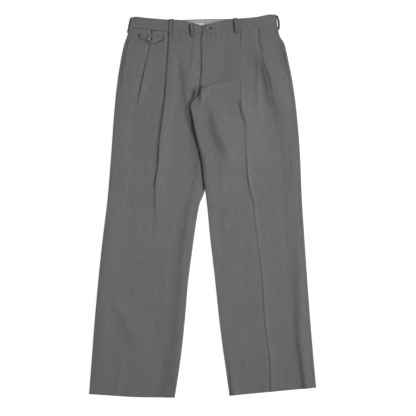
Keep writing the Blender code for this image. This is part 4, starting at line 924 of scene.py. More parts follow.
def band_section(leg, share):
    """The waistband at a share of its height: front, round the side, back."""
    steps = BAND_STEPS
    side = float(read(BAND_SIDE[leg], "out", share)) - BAND_CLOTH / 2
    radius = (BAND_FRONT_MID - BAND_BACK_MID) / 2
    start = -LAP_END if leg == "right" else BAND_START
    outs = [start] + spread(start, BAND_LAP_FOOT, steps["lap"])
    outs = np.array(outs + spread(BAND_LAP_FOOT, side - radius, steps["front"]))
    heights = np.full(len(outs), BAND_FRONT_MID)
    if leg == "left":
        heights = heights + BAND_LAP * (1 - ramp(BAND_LAP_FULL, BAND_LAP_FOOT, outs))
    x = SIDES[leg] * outs
    crown = math.sin(math.pi * share) * ramp(side - radius, side - BAND_FLAT, outs)
    ripple = BAND_RIPPLE * waves(x, BAND_HEIGHT * share, *BAND_WAVES)
    heights = heights + crown * (BAND_CROWN + ripple)
    points = [(out, z, 0.0) for out, z in zip(outs, heights)]
    pen = Pen(points[-1][0], points[-1][1])
    pen.turn(-math.pi, radius, steps["turn"])
    points += [(out, z, (k + 1) / steps["turn"]) for k, (out, z) in enumerate(pen.points[1:])]
    outs = np.array(spread(points[-1][0], BACK_CENTRE[leg], steps["back"]))
    points += [(out, z, 1.0) for out, z in zip(outs, BAND_BACK_MID + back_band_lift(leg, outs))]
    return np.array(points), 0


def band_height(leg, out, share, back):
    """The y of a place on the band, from the waist seam to its top edge."""
    x = SIDES[leg] * out
    top = mix(read(FRONT_TOP, "y", x), read(BACK_TOP, "y", x), back)
    return mix(waist_seam(x, back) + SEAM_GAP / 2, top, share)


# ---------------------------------------------------------------- making shells
def offset(section, distance):
    """A section moved sideways, to its left, with its straight parts kept parallel."""
    ways = unit(np.diff(section[:, :2], axis=0))
    normals = np.column_stack([-ways[:, 1], ways[:, 0]])
    before = np.vstack([normals[:1], normals])
    after = np.vstack([normals, normals[-1:]])
    middle = unit(before + after)
    reach = distance / np.maximum((middle * after).sum(axis=1), 0.6)
    return section[:, :2] + middle * reach[:, None]


def add_object(name, data):
    thing = bpy.data.objects.new(name, data)
    bpy.context.scene.collection.objects.link(thing)
    return thing


def finished(bm, mesh):
    """Writes the drawn form into a mesh."""
    bm.to_mesh(mesh)
    bm.free()
    return mesh


def add_mesh(name, verts, faces, material, uvs=None):
    """A smooth closed mesh with its faces pointing out; uvs are in metres along the cloth."""
    mesh = bpy.data.meshes.new(name)
    mesh.from_pydata(verts.tolist(), [], faces)
    bm = bmesh.new()
    bm.from_mesh(mesh)
    bmesh.ops.recalc_face_normals(bm, faces=bm.faces)
    finished(bm, mesh)
    if uvs is not None:
        corners = np.empty(len(mesh.loops), np.int32)
        mesh.loops.foreach_get("vertex_index", corners)
        mesh.uv_layers.new(name="cloth").data.foreach_set("uv", uvs[corners].astype(np.float32).ravel())
    mesh.materials.append(material)
    mesh.shade_smooth()
    return add_object(name, mesh)


def round_edges(thing, width, segments=3):
    """Rounds the cut or folded edges of a shell."""
    bevel = thing.modifiers.new("edges", "BEVEL")
    bevel.width = width
    bevel.segments = segments
    bevel.limit_method = "ANGLE"
    bevel.angle_limit = SHARP_ANGLE
    bevel.use_clamp_overlap = False


def add_shell(name, upper, lower, uvs, material, edge):
    """A shell between two grids of points with the same rows and columns."""
    rows, columns = upper.shape[:2]
    verts = np.concatenate([upper.reshape(-1, 3), lower.reshape(-1, 3)])
    below = rows * columns
    corner = (np.arange(rows - 1)[:, None] * columns + np.arange(columns - 1)).ravel()
    quads = np.stack([corner, corner + columns, corner + columns + 1, corner + 1], axis=1)
    faces = np.concatenate([quads, quads + below]).tolist()
    rim = np.concatenate([
        np.arange(columns),
        np.arange(1, rows) * columns + columns - 1,
        (rows - 1) * columns + np.arange(columns - 2, -1, -1),
        np.arange(rows - 2, 0, -1) * columns,
    ])
    faces += np.stack([rim, np.roll(rim, -1), below + np.roll(rim, -1), below + rim], axis=1).tolist()
    flat = uvs.reshape(-1, 2)
    thing = add_mesh(name, verts, faces, material, np.concatenate([flat, flat]))
    round_edges(thing, edge)
    return thing


def add_wall(name, leg, rows, section_at, height_at, thickness, material, edge):
    """A wall of cloth on a leg's side, its middle along the sections at the given rows."""
    grids = {thickness / 2: [], -thickness / 2: []}
    uvs = []
    for row in rows:
        section, anchor = section_at(leg, row)
        y = height_at(leg, section[:, 0], row, section[:, 2])
        for distance, grid in grids.items():
            moved = offset(section, distance)
            grid.append(np.column_stack([SIDES[leg] * moved[:, 0], y, moved[:, 1]]))
        length = length_along(section[:, :2])
        uvs.append(np.column_stack([length - length[anchor], y]))
    upper, lower = (np.array(grid) for grid in grids.values())
    return add_shell(name, upper, lower, np.array(uvs), material, edge)


def panel_rows():
    """Rows from the waist seam to the hem, closest at the crotch."""
    rows = [SEAM_ROW]
    for start, end, count in zip(ROW_ENDS[:-1], ROW_ENDS[1:], ROW_COUNTS):
        rows += spread(start, end, count)
    return rows


def add_plate(name, xs, ys, middle, thickness, material, edge):
    """A flat piece over a grid of x and y, with its middle at the given heights."""
    upper = np.stack([xs, ys, middle + thickness / 2], axis=-1)
    lower = np.stack([xs, ys, middle - thickness / 2], axis=-1)
    return add_shell(name, upper, lower, np.stack([xs, ys], axis=-1), material, edge)


def surface_below(x, y):
    """Height of what has been made so far."""
    graph = bpy.context.evaluated_depsgraph_get()
    start, down = Vector((x, y, RAY_HEIGHT)), Vector((0, 0, -1))
    hit, place, *_ = bpy.context.scene.ray_cast(graph, start, down)
    return place.z if hit else 0.0


def dress(thing, node):
    """The piece stands for the part's node of that name and rides on the one body."""
    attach(thing, "root")
    if node:
        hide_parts(node)


# ---------------------------------------------------------------- materials
class Shader:
    """A material's node tree, built one call a node."""

    def __init__(self, name, **constants):
        self.material = bpy.data.materials.new(name)
        self.material.use_nodes = True
        self.nodes = self.material.node_tree.nodes
        self.surface = self.nodes["Principled BSDF"]
        for socket, value in constants.items():
            self.surface.inputs[socket.replace("_", " ")].default_value = value

    def connect(self, value, socket):
        if isinstance(value, bpy.types.NodeSocket):
            self.material.node_tree.links.new(value, socket)
        else:
            socket.default_value = value

    def add(self, kind, output=0, settings=None, **inputs):
        """A node with its settings, and its inputs by name, or by place as _0, _1."""
        node = self.nodes.new(f"ShaderNode{kind}")
        for name, value in (settings or {}).items():
            setattr(node, name, value)
        for name, value in inputs.items():
            key = int(name[1:]) if name.startswith("_") else name.replace("_", " ")
            self.connect(value, node.inputs[key])
        return node.outputs[output]

    def math(self, operation, first, second=0.0):
        return self.add("Math", settings={"operation": operation}, _0=first, _1=second)

    def weighted(self, *parts):
        """The sum of the given values, each multiplied by the weight beside it."""
        values = [self.math("MULTIPLY", value, weight) for value, weight in parts]
        total = values[0]
        for value in values[1:]:
            total = self.math("ADD", total, value)
        return total

    def place(self, across, along):
        """The cloth's own coordinates, each multiplied by how often it repeats in a metre."""
        uv = self.add("UVMap", settings={"uv_map": "cloth"})
        return self.add("VectorMath", settings={"operation": "MULTIPLY"}, _0=uv, _1=(across, along, 1))

    def noise(self, across, along, detail=2.0, rough=0.5):
        where = self.place(across, along)
        return self.add("TexNoise", Vector=where, Scale=1.0, Detail=detail, Roughness=rough)

    def weave(self, pitch):
        """Height of a plain weave: warp and weft threads that pass over each other in turn."""
        scaled = {"_0": self.place(1, 1), "Scale": math.pi / pitch}
        parts = self.add("SeparateXYZ", _0=self.add("VectorMath", settings={"operation": "SCALE"}, **scaled))
        other = parts.node.outputs[1]
        product = self.math("MULTIPLY", self.math("SINE", parts), self.math("SINE", other))
        ribs = self.math("ABSOLUTE", self.math("COSINE", parts))
        return self.math("ADD", self.math("MULTIPLY", product, 0.5), self.math("MULTIPLY", ribs, 0.4))

    def blend(self, share, shades):
        dark, light = shades
        return self.add("MixRGB", _0=share, _1=(*dark, 1), _2=(*light, 1))

    def bump(self, height, distance, strength=1.0, under=None):
        inputs = {"Height": height, "Distance": distance, "Strength": strength}
        if under is not None:
            inputs["Normal"] = under
        return self.add("Bump", **inputs)

    def set(self, socket, value):
        self.connect(value, self.surface.inputs[socket])

    def finish(self, colour, rough_by, rough, normal):
        """Sets the colour, the roughness between its least and its most, and the fine relief."""
        self.set("Base Color", colour)
        self.set("Roughness", self.add("MapRange", Value=rough_by, To_Min=rough[0], To_Max=rough[1]))
        self.set("Normal", normal)
        return self.material


def suiting():
    """Mid-grey heathered wool: light and dark fibres in each yarn, and a fine plain weave."""
    cloth = Shader("grey_suiting", Sheen_Weight=0.25, Sheen_Roughness=0.45, Specular_IOR_Level=0.25)
    yarns = cloth.noise(1100, 160, 3.0, 0.6)
    slubs = cloth.noise(420, 95)
    streaks = cloth.noise(300, 26)
    picks = cloth.noise(160, 1000)
    shade = cloth.noise(16, 9)
    weave = cloth.weave(0.00045)
    total = cloth.weighted(
        (yarns, 0.34), (slubs, 0.28), (streaks, 0.24), (picks, 0.10), (shade, 0.06), (weave, 0.05)
    )
    share = cloth.add("MapRange", Value=total, From_Min=0.28, From_Max=0.72)
    coarse = cloth.bump(slubs, 0.00010, 0.5)
    relief = cloth.bump(cloth.math("ADD", weave, yarns), 0.00012, 0.42, coarse)
    return cloth.finish(cloth.blend(share, SHADES["grey_suiting"]), yarns, (0.72, 0.92), relief)


def band_lining():
    """Pale blue-grey lining with a fine rib across it and a satin sheen."""
    cloth = Shader("band_lining", Sheen_Weight=0.2, Sheen_Roughness=0.3, Specular_IOR_Level=0.4)
    threads = cloth.noise(90, 1500)
    shade = cloth.noise(60, 40)
    total = cloth.weighted((threads, 0.6), (shade, 0.4))
    relief = cloth.bump(cloth.weave(0.0003), 0.00006, 0.5)
    return cloth.finish(cloth.blend(total, SHADES["band_lining"]), threads, (0.42, 0.60), relief)


def label_tape():
    """Bare white tape with a close weave."""
    cloth = Shader("bare_label", Sheen_Weight=0.15, Specular_IOR_Level=0.3)
    threads = cloth.noise(900, 1400)
    relief = cloth.bump(cloth.weave(0.00025), 0.00008, 0.7)
    return cloth.finish(cloth.blend(threads, SHADES["bare_label"]), threads, (0.55, 0.75), relief)


def horn():
    """Mottled horn: dark brown with amber and cream clouds, polished on the rim, and painted shade darkening
    each button's right side.
    """
    shader = Shader("horn_button", Coat_Weight=0.35, Coat_Roughness=0.15, IOR=1.55)
    here = shader.add("TexCoord", 3)
    clouds = shader.add("TexNoise", Vector=here, Scale=150.0, Detail=3.0, Roughness=0.55, Distortion=1.2)
    streaks = shader.add("TexNoise", Vector=here, Scale=420.0, Detail=2.0, Roughness=0.5)
    colours = shader.add("ValToRGB", _0=shader.weighted((clouds, 0.8), (streaks, 0.2)))
    elements = colours.node.color_ramp.elements
    for element, (where, colour) in zip([*elements], HORN_SHADES):
        element.position = where
        element.color = (*colour, 1)
    for where, colour in HORN_SHADES[2:]:
        elements.new(where).color = (*colour, 1)
    # Painted shade: the button's colour is darkened towards its right side.
    start, end = HORN_PAINTED_SHADE_SPAN
    across = shader.add("SeparateXYZ", _0=here)
    painted_shade_share = shader.add("MapRange", Value=across, From_Min=start, From_Max=end, To_Max=0.88)
    painted_shade_horn = shader.add("MixRGB", _0=painted_shade_share, _1=colours, _2=(*HORN_PAINTED_SHADE, 1))
    return shader.finish(painted_shade_horn, streaks, (0.22, 0.42), shader.bump(streaks, 0.00008, 0.4))


def thread(name):
    """Twisted sewing thread; the near-black one also draws the lines of painted shade."""
    shader = Shader(name, Sheen_Weight=0.2, Specular_IOR_Level=0.45)
    here = shader.add("TexCoord", 3)
    twist = shader.add("TexNoise", Vector=here, Scale=2600.0, Detail=2.0, Roughness=0.6)
    relief = shader.bump(twist, 0.00008, 0.6)
    return shader.finish(shader.blend(twist, SHADES[name]), twist, (0.45, 0.65), relief)


# ---------------------------------------------------------------- cloth pieces
def add_panels(leg, material):
    for kind, section_at in (("front", front_section), ("back", back_section)):
        name = f"{kind}_{leg}"
        panel = add_wall(
            f"{name}_cloth", leg, panel_rows(), section_at, row_height, CLOTH, material, edge=0.00030
        )
        dress(panel, name)


def add_band(leg, material):
    name = f"waistband_{leg}"
    rows = np.linspace(0, 1, BAND_STEPS["rows"] + 1)
    band = add_wall(f"{name}_cloth", leg, rows, band_section, band_height, BAND_CLOTH, material, edge=0.0006)
    dress(band, name)


def add_lining(leg, material):
    """The lining inside the back of the band, as far as it can show over the front."""
    name = f"waist_lining_{leg}"
    outs = np.linspace(LINING_END, BACK_CENTRE[leg] + SEAM_GAP, 120)
    outs, drops = np.meshgrid(outs, np.linspace(*LINING_DROPS, 16))
    xs = SIDES[leg] * outs
    lift = back_band_lift(leg, outs) + LINING_RIPPLE * waves(xs, drops, *LINING_WAVES)
    middle = BAND_CLOTH + SEAM_GAP + LINING / 2 + LINING_CLEAR + lift
    ys = read(BACK_TOP, "y", xs) - drops
    lining = add_plate(f"{name}_cloth", xs, ys, middle, LINING, material, edge=0.0003)
    dress(lining, name)


def add_label(material):
    width, height = LABEL_SIZE
    outs = np.linspace(-0.5, 0.5, 30) * width + LABEL_OUT
    outs, drops = np.meshgrid(outs, np.linspace(0, height, 26))
    lift = LABEL_CLEAR + LABEL_RIPPLE * waves(outs, drops, *LABEL_WAVES)
    middle = BAND_CLOTH + LINING + LABEL / 2 + 2 * SEAM_GAP + lift
    label = add_plate("waist_label_tape", -outs, LABEL_TOP - drops, middle, LABEL, material, edge=0.0002)
    dress(label, "waist_label")


def add_flap(material):
    """The watch-pocket flap, with a shallow point, rounded corners and an edge pressed thin."""
    first, last = FLAP_TOP["out"][0], FLAP_TOP["out"][-1]
    corner = first + FLAP_CORNER * (1 - np.cos(np.linspace(0, math.pi / 2, 9)))
    places = np.concatenate([corner, np.linspace(corner[-1], last + first - corner[-1], 62)[1:-1]])
    places = np.concatenate([places, (first + last - corner)[::-1]])
    outs, shares = np.meshgrid(places, np.linspace(0, 1, 44))
    from_end = np.clip(np.minimum(outs - first, last - outs) / FLAP_CORNER, 0, 1)
    cut = FLAP_CORNER * (1 - np.sqrt(1 - (1 - from_end) ** 2))
    top = read(FLAP_TOP, "y", outs) - cut
    bottom = read(FLAP_BOTTOM, "y", outs) + cut
    ys = mix(top, bottom, shares)
    inside = np.minimum.reduce([top - ys, ys - bottom, outs - first, last - outs])
    dent = FLAP_DENT * np.exp(-(((inside - FLAP_STITCH) / FLAP_DENT_WIDTH) ** 2))
    dent += mix(*FLAP_THINNED, ramp(first, last, outs)) * ramp(FLAP_THINNED_WIDTH, 0, inside)
    cloth = [[surface_below(-out, y) for out, y in zip(*line)] for line in zip(outs, ys)]
    middle = evened(np.array(cloth), FLAP_EVENED) + FLAP_CLEAR + FLAP_CLOTH / 2
    middle -= FLAP_PRESSED * ramp(mix(first, last, FLAP_PRESSED_FROM), last, outs)
    upper = np.stack([-outs, ys, middle + FLAP_CLOTH / 2 - dent], axis=-1)
    lower = np.stack([-outs, ys, middle - FLAP_CLOTH / 2], axis=-1)
    flap = add_shell("watch_pocket_flap_cloth", upper, lower, upper[:, :, :2], material, edge=0.0005)
    dress(flap, "watch_pocket_flap")
    return float((middle + FLAP_CLOTH / 2).max())


def evened(heights, reach):
    """A grid of heights, averaged twice over a reach of rows and one of columns."""
    for axis in (0, 1, 0, 1):
        ends = [(0, 0), (0, 0)]
        ends[axis] = (reach[axis], reach[axis])
        count = heights.shape[axis]
        padded = np.pad(heights, ends, mode="reflect")
        windows = [padded.take(range(k, k + count), axis) for k in range(2 * reach[axis] + 1)]
        heights = np.mean(windows, axis=0)
    return heights


def strap(name, rails, normals, material):
    """A loop's strap: a crowned band of cloth along rails of x, y, z, across the given directions."""
    shares = np.linspace(-0.5, 0.5, 15)
    along = np.array(rails, float)
    across = np.array(normals, float)
    face = unit(np.cross(across, unit(np.gradient(along, axis=0))))
    sewn = np.exp(-(((np.abs(shares) - LOOP_DENT_PLACE) / LOOP_DENT_WIDTH) ** 2))
    bulge = LOOP_CROWN * (1 - (2 * shares) ** 4) - LOOP_DENT * sewn
    middle = along[:, None, :] + across[:, None, :] * (shares * LOOP_WIDTH)[None, :, None]
    upper = middle + face[:, None, :] * (LOOP_CLOTH / 2 + bulge)[None, :, None]
    lower = middle - face[:, None, :] * LOOP_CLOTH / 2
    length = length_along(along)
    uvs = np.stack(np.meshgrid(shares * LOOP_WIDTH, length), axis=-1)
    loop = add_shell(f"{name}_strap", upper, lower, uvs, material, edge=0.00045)
    dress(loop, name)


def loop_ends(loop):
    """A front loop's upper and lower end: x and y of each."""
    top = float(read(FRONT_TOP, "y", loop["x"])) + loop["above"]
    foot = float(read(FRONT_SEAM, "y", loop["x"])) - loop["below"]
    return (loop["x"] - loop["lean"] / 2, top), (loop["x"] + loop["lean"] / 2, foot)


def front_loop_rail(loop):
    """Stations along a front loop's middle: over the band's edge, bowed, and sewn down below."""
    (x_top, top), (x_foot, foot) = loop_ends(loop)
    seam = foot + loop["below"]
    clear = LOOP_CLEAR + LOOP_CLOTH / 2
    on_band = BAND_FRONT_MID + BAND_CROWN + BAND_CLOTH / 2 + clear
    reach = (-LOOP_WIDTH / 2, 0, LOOP_WIDTH / 2)
    places = (foot, foot + LOOP_FOOT, seam - 0.001)
    on_panel = max(surface_below(x_foot + dx, y) for dx in reach for y in places)
    bow = loop["bow"]
    stations = table(
        "y z",
        (top, on_band), (top - 0.004, on_band + bow * 0.45), (mix(top, seam, 0.40), on_band + bow),
        (mix(top, seam, 0.75), on_band + bow * 0.8), (seam, on_band + bow * 0.3),
        (foot + LOOP_FOOT, max(on_panel + clear, on_band - 0.0003)), (foot, on_panel + clear),
        unit=1,
    )
    ys = np.linspace(top, foot, LOOP_STATIONS)
    xs = np.linspace(x_top, x_foot, LOOP_STATIONS)
    return list(zip(xs, ys, read(stations, "z", ys)))


def side_loop_rail(loop):
    """Stations along a side loop, which stands on edge round the side of the band."""
    leg, sign = loop["leg"], SIDES[loop["leg"]]
    ys = np.linspace(loop["top"], loop["bottom"], LOOP_STATIONS)
    seam = float(read(FRONT_SEAM, "y", sign * SIDE_LOOP_X))
    share = np.clip((ys - seam) / (loop["top"] - seam), 0, 1)
    edge = np.where(ys > seam, read(BAND_SIDE[leg], "out", share), read(SIDE_EDGE[leg], "out", ys))
    edge = np.convolve(np.pad(edge, 3, mode="edge"), np.ones(7) / 7, mode="valid")
    bow = loop["bow"] * np.sin(np.linspace(0, math.pi, len(ys))) ** 0.8
    angle = math.radians(loop["lean"])
    out = edge + bow + loop["clear"]
    z = SEAM_GAP + LOOP_WIDTH / 2 * math.cos(angle)
    rails = [(sign * o, y, z) for o, y in zip(out, ys)]
    return rails, [(sign * math.sin(angle), 0, math.cos(angle))] * len(ys)


def add_loops(material):
    for loop in FRONT_LOOPS:
        rail = front_loop_rail(loop)
        strap(loop["name"], rail, [(1, 0, 0)] * len(rail), material)
    for loop in SIDE_LOOPS:
        strap(f"belt_loop_side_{loop['leg']}", *side_loop_rail(loop), material)
    for leg, sign in SIDES.items():
        x = sign * BACK_LOOP_OUT[leg]
        ends = float(read(BACK_TOP, "y", x)) - 0.001, float(waist_seam(x, 1.0)) + 0.001
        rail = [(x, y, LOOP_CLOTH / 2) for y in np.linspace(*ends, 12)]
        strap(f"belt_loop_back_{leg}", rail, [(1, 0, 0)] * len(rail), material)


# ---------------------------------------------------------------- buttons and sewing
def add_button(name, place, base, material):
    """A turned button with a raised rim, a dished middle and four holes."""
    rim, thick = BUTTON_RADIUS, BUTTON_THICK
    profile = table(
        "turn r z",
        (0, 0, 0), (1, rim * 0.55, 0), (2, rim * 0.86, thick * 0.12), (3, rim * 0.985, thick * 0.36),
        (4, rim, thick * 0.58), (5, rim * 0.95, thick * 0.86), (6, rim * 0.84, thick),
        (7, rim * 0.76, thick * 0.92), (8, rim * 0.66, thick * 0.52), (9, rim * 0.50, thick * 0.32),
        (10, 0, thick * 0.30),
        unit=1,
    )
    turns = np.linspace(0, 10, 41)
    bm = bmesh.new()
    verts = [bm.verts.new((r, 0, z)) for r, z in zip(read(profile, "r", turns), read(profile, "z", turns))]
    edges = [bm.edges.new(pair) for pair in zip(verts[:-1], verts[1:])]
    bmesh.ops.spin(
        bm, geom=verts + edges, cent=(0, 0, 0), axis=(0, 0, 1), angle=math.tau, steps=64, use_merge=True
    )
    bmesh.ops.remove_doubles(bm, verts=bm.verts, dist=1e-6)
    bmesh.ops.recalc_face_normals(bm, faces=bm.faces)
    mesh = finished(bm, bpy.data.meshes.new(f"{name}_horn"))
    mesh.materials.append(material)
    mesh.shade_smooth()
    button = add_object(f"{name}_horn", mesh)
    button.location = (*place, base)
    cut_holes(button)
    dress(button, name)


def hole_places():
    for quarter in range(4):
        angle = math.radians(45 + 90 * quarter)
        yield math.cos(angle) * BUTTON_HOLE_OUT, math.sin(angle) * BUTTON_HOLE_OUT


def cut_holes(button):
    """Drills the four holes, and leaves no cutter behind."""
    bm = bmesh.new()
    for x, y in hole_places():
        made = bmesh.ops.create_cone(
            bm, cap_ends=True, segments=20, radius1=BUTTON_HOLE, radius2=BUTTON_HOLE, depth=BUTTON_THICK * 3
        )
        bmesh.ops.translate(bm, verts=made["verts"], vec=(x, y, BUTTON_THICK / 2))
    drill = add_object("drill", finished(bm, bpy.data.meshes.new("drill")))
    drill.location = button.location
    cut = button.modifiers.new("holes", "BOOLEAN")
    cut.operation = "DIFFERENCE"
    cut.object = drill
    bpy.context.view_layer.update()
    graph = bpy.context.evaluated_depsgraph_get()
    drilled = bpy.data.meshes.new_from_object(button.evaluated_get(graph))
    button.modifiers.clear()
    button.data = drilled
    drilled.set_sharp_from_angle(angle=SHARP_ANGLE)
    bpy.data.objects.remove(drill)


def stitch_shape(start, end, thick, arch):
    """One stitch as a thread of six sides, arched over the cloth with its ends sunk in it."""
    start, end = np.array(start, float), np.array(end, float)
    way = unit(end - start)
    side = unit(np.cross(way, (0, 0, 1)))
    up = np.cross(side, way)
    verts = []
    for share, size, rise in ((0, 0.5, -1), (0.12, 0.9, 0), (0.5, 1, 1), (0.88, 0.9, 0), (1, 0.5, -1)):
        centre = start + (end - start) * share + up * (arch if rise > 0 else rise * thick * 0.5)
        for angle in RING:
            verts.append(centre + (side * math.cos(angle) + up * math.sin(angle)) * thick / 2 * size)
    return verts


def add_stitches(name, stitches, thick, material, arch=0.00010):
    """Many stitches, each from one point to another, as one mesh."""
    verts, faces = [], []
    for start, end in stitches:
        first = len(verts)
        verts += stitch_shape(start, end, thick, arch)
        for ring in range(4):
            for k in range(6):
                a, b = first + ring * 6 + k, first + ring * 6 + (k + 1) % 6
                faces.append((a, b, b + 6, a + 6))
        faces += [tuple(first + k for k in range(6)), tuple(first + 24 + k for k in range(6))]
    dress(add_mesh(name, np.array(verts), faces, material), None)


def dropped(x, y, clear):
    return x, y, surface_below(x, y) + clear


def run(line, pitch, gap=0.0006, clear=0.00005):
    """Stitches in a row along a line of x, y."""
    line = np.array(line, float)
    length = length_along(line)
    count = max(1, round(length[-1] / pitch))
    places = np.linspace(0, length[-1], count + 1)
    made = []
    for start, end in zip(places[:-1], places[1:] - gap):
        a, b = ([np.interp(at, length, line[:, k]) for k in (0, 1)] for at in (start, end))
        made.append((dropped(*a, clear), dropped(*b, clear)))
    return made


def tack(centre, way, length, width, clear=0.0001):
    """A bar tack: close stitches side by side along a short line."""
    way = unit(np.array(way, float))
    across = np.array((-way[1], way[0]))
    made = []
    for share in np.linspace(-0.5, 0.5, round(length / TACK_PITCH)):
        middle = np.array(centre) + way * share * length
        ends = (middle - across * width / 2, middle + across * width / 2)
        made.append(tuple(dropped(*end, clear) for end in ends))
    return made


def side_line(leg, inset, low, high, count=24):
    """A line beside the front's side edge, for the stitching of a pocket's mouth."""
    ys = np.linspace(high, low, count)
    return [(SIDES[leg] * (float(read(SIDE_EDGE[leg], "out", y)) - SIDE_STRIP - inset), y) for y in ys]


def fly_line():
    """The fly's stitching: straight down from the waist seam, then a curve to the centre edge."""
    end_x, end_y = FLY_STITCH_END
    line = [(FLY_STITCH, y) for y in np.linspace(FLY_STITCH_TOP, FLY_BEND, 20)]
    for angle in np.linspace(0, math.pi / 2, 14)[1:]:
        x = end_x + (FLY_STITCH - end_x) * math.cos(angle)
        line.append((x, FLY_BEND - (FLY_BEND - end_y) * math.sin(angle)))
    return line


def flap_line(inset):
    """Round the flap, inside its edge, from one top corner to the other."""
    first, last = FLAP_TOP["out"][0], FLAP_TOP["out"][-1]
    corner = FLAP_CORNER - inset
    outs = np.linspace(first + inset + corner, last - inset - corner, 24)
    low = [(-o, float(read(FLAP_BOTTOM, "y", o)) + inset) for o in outs]
    inner, outer = (
        [
            (-(edge + shift), float(read(FLAP_TOP, "y", edge)) - inset),
            (-(edge + shift), float(read(FLAP_BOTTOM, "y", edge)) + inset + corner),
        ]
        for edge, shift in ((first, inset), (last, -inset))
    )
    return inner + low + outer[::-1]


def sew_flap(dark):
    """A row of near-black stitches inside the flap's edge, their darkness partly painted shade, and a dark
    line of painted shade along the edge, widest towards the fly.
    """
    add_stitches("flap_stitching", run(flap_line(FLAP_STITCH), FLAP_PITCH, gap=0.0003), FINE_THREAD, dark)
    # Painted shade: dark threads along the flap's edge, wide towards the fly and fine on the far side.
    shade_line = flap_line(FLAP_SHADE_INSET)
    half = len(shade_line) // 2 - 4
    inner, outer = shade_line[:half + 1], [*shade_line[half:], shade_line[0]]
    add_stitches("flap_painted_shade_right", run(inner, FLAP_PITCH, gap=0.0001), FLAP_SHADE_THREAD, dark)
    add_stitches("flap_painted_shade_left", run(outer, FLAP_PITCH, gap=0.0002), FINE_THREAD, dark)


def sew_pocket(leg, material):
    """Stitching beside a side pocket's mouth, and a tack at each of its ends."""
    low, high = POCKET_MOUTH
    made = run(side_line(leg, POCKET_STITCH, low, high), STITCH_PITCH)
    for y in POCKET_MOUTH:
        x = side_line(leg, POCKET_TACK, y, y, 1)[0][0]
        made += tack((x, y), (1, 0), POCKET_TACK_LENGTH, TACK_WIDTH)
    add_stitches(f"pocket_stitching_{leg}", made, THREAD, material)


def sew_loops(material, dark):
    """Near-black runs along each front loop's edges, partly stitching and partly painted shade, a run of
    painted shade across its foot, its two tacks, and painted shade on the right side loop.
    """
    tacks, foot_shade = [], []
    for loop in FRONT_LOOPS:
        (x_top, top), (x_foot, foot) = loop_ends(loop)
        for side, side_name, thick in zip((-1, 1), ("right", "left"), loop["threads"]):
            made = []
            # Painted shade: the outer run is a dark line of shade at the loop's edge, the inner one
            # near-black edge stitching.
            for edge in LOOP_EDGE_SHADE_RUNS:
                shift = side * edge * LOOP_WIDTH
                line = [(x_top + shift, top - 0.001), (x_foot + shift, foot + 0.0006)]
                made += run(line, DARK_PITCH, gap=0.0003)
            add_stitches(f"{loop['name']}_thread_{side_name}", made, thick, dark)
        # Painted shade: a dark run across the foot, for the shade below the loop's end.
        half = LOOP_WIDTH * 0.45
        line = [(x_foot - half, foot + 0.0006), (x_foot + half, foot + 0.0006)]
        foot_shade += run(line, DARK_PITCH, gap=0.0003)
        tacks += tack((x_foot, foot + 0.0022), (1, 0), LOOP_WIDTH * 0.8, TACK_WIDTH)
        tacks += tack((x_top, top - 0.0028), (1, 0), LOOP_WIDTH * 0.8, TACK_WIDTH)
    add_stitches("belt_loop_foot_painted_shade", foot_shade, LOOP_FOOT_SHADE_THREAD, dark)
    # Painted shade: dark threads over the right side loop's face, which is turned from the light.
    side_loop_shade = [stitch for line in SIDE_LOOP_SHADE_LINES for stitch in run(line, DARK_PITCH, gap=0.0001)]
    add_stitches("belt_loop_side_right_painted_shade", side_loop_shade, SIDE_LOOP_SHADE_THREAD, dark)
    add_stitches("belt_loop_tacks", tacks, THREAD, material)


def sew_buttonholes(material):
    """Close stitches on both sides of each buttonhole's slit."""
    made = []
    for (x, y), way in ((WAIST_BUTTON, (1, 0)), (WATCH_BUTTON, (0, 1))):
        centre = np.array((x, y)) + np.array(way) * BUTTONHOLE_SHIFT
        across = np.array((-way[1], way[0]))
        for side in (-1, 1):
            edge = centre + across * side * BUTTONHOLE_EDGE
            made += tack(edge, way, BUTTONHOLE_LENGTH, BUTTONHOLE_STITCH)
    add_stitches("buttonholes", made, FINE_THREAD, material)


def sew_cloth(material, dark):
    """All the stitching that shows on the cloth, and the near-black runs of painted shade along the flap's
    and loops' edges.
    """
    add_stitches("fly_stitching", run(fly_line(), STITCH_PITCH), THREAD, material)
    sew_flap(dark)
    for leg in SIDES:
        sew_pocket(leg, material)
    sew_loops(material, dark)
    sew_buttonholes(material)


def sew_button(name, place, base, material):
    """Two bars of thread through the four holes, and the shank below."""
    x, y = place
    corners = list(hole_places())
    made = []
    top = base + BUTTON_THICK * BAR_HEIGHT
    for first, second in ((0, 1), (3, 2)):
        for shift in (-BAR_SPACING, 0, BAR_SPACING):
            ends = [(x + corners[k][0], y + corners[k][1] + shift, top) for k in (first, second)]
            made.append(tuple(ends))
    for hole_x, hole_y in corners:
        foot = (x + hole_x * SHANK_SHARE, y + hole_y * SHANK_SHARE, base - SHANK_SUNK)
        made.append(((x + hole_x + 1e-5, y + hole_y, top), foot))
    add_stitches(f"{name}_thread", made, BUTTON_THREAD, material, arch=0.0003)


# ---------------------------------------------------------------- stage
def add_stage():
    """A white floor that a little light comes through, as on a light table."""
    mesh = bpy.data.meshes.new("floor")
    corners = [(x * FLOOR_SIZE, y * FLOOR_SIZE, 0) for x, y in ((-1, -1), (1, -1), (1, 1), (-1, 1))]
    mesh.from_pydata(corners, [], [(0, 1, 2, 3)])
    floor = add_object("floor", mesh)
    floor.location.z = FLOOR_BELOW
    shader = Shader("white_floor", Base_Color=FLOOR_COLOUR, Roughness=0.9)
    shader.surface.inputs["Emission Color"].default_value = (1, 1, 1, 1)
    shader.surface.inputs["Emission Strength"].default_value = FLOOR_GLOW
    mesh.materials.append(shader.material)
    floor.visible_diffuse = False


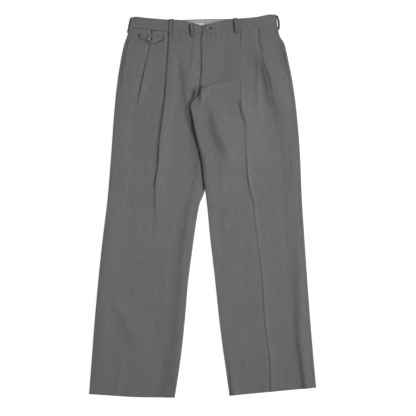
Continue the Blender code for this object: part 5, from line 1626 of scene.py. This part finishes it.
def add_light(name, energy, size, place, aim, cone):
    light = bpy.data.lights.new(name, "AREA")
    light.energy = energy
    light.shape = "RECTANGLE"
    light.size, light.size_y = size
    light.spread = math.radians(cone)
    lamp = add_object(name, light)
    lamp.location = place
    lamp.rotation_mode = "QUATERNION"
    lamp.rotation_quaternion = (Vector(aim) - Vector(place)).to_track_quat("-Z", "Y")


def light_scene():
    """Soft studio light: a large key from the wearer's left, a weaker one above, and a dim room."""
    for light in LIGHTS:
        add_light(*light)
    world = bpy.data.worlds.new("studio")
    bpy.context.scene.world = world
    world.use_nodes = True
    nodes, links = world.node_tree.nodes, world.node_tree.links
    way = nodes.new("ShaderNodeTexCoord")
    parts = nodes.new("ShaderNodeSeparateXYZ")
    strength = nodes.new("ShaderNodeMapRange")
    for place, value in enumerate(ROOM_LIGHT, 1):
        strength.inputs[place].default_value = value
    links.new(way.outputs["Generated"], parts.inputs[0])
    links.new(parts.outputs["Z"], strength.inputs["Value"])
    links.new(strength.outputs["Result"], nodes["Background"].inputs["Strength"])
    nodes["Background"].inputs["Color"].default_value = (1, 1, 1, 1)


def add_camera():
    camera = bpy.data.cameras.new("camera")
    camera.lens = camera.sensor_width * CAMERA_HEIGHT / VIEW_WIDTH
    camera.clip_end = VIEW_END
    eye = add_object("camera", camera)
    eye.location = (*VIEW_CENTRE, CAMERA_HEIGHT)
    bpy.context.scene.camera = eye


def write_sizes():
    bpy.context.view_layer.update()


def main():
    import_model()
    bpy.context.scene.view_settings.view_transform = "Standard"
    wool, lining, tape = suiting(), band_lining(), label_tape()
    for leg in SIDES:
        add_panels(leg, wool)
        add_band(leg, wool)
        add_lining(leg, lining)
    add_label(tape)
    bpy.context.view_layer.update()
    flap_top = add_flap(wool)
    add_loops(wool)
    bpy.context.view_layer.update()
    sew_cloth(thread("grey_thread"), thread("near_black_thread_and_shade"))
    button_horn, button_thread = horn(), thread("button_thread")
    band_top = BAND_FRONT_MID + BAND_LAP + BAND_CROWN + BAND_CLOTH / 2
    buttons = (("button_watch_pocket", WATCH_BUTTON, flap_top), ("button_waist", WAIST_BUTTON, band_top))
    for name, place, below in buttons:
        add_button(name, place, below + SEAM_GAP, button_horn)
        sew_button(name, place, below + SEAM_GAP, button_thread)
    add_stage()
    light_scene()
    add_camera()
    write_sizes()


main()
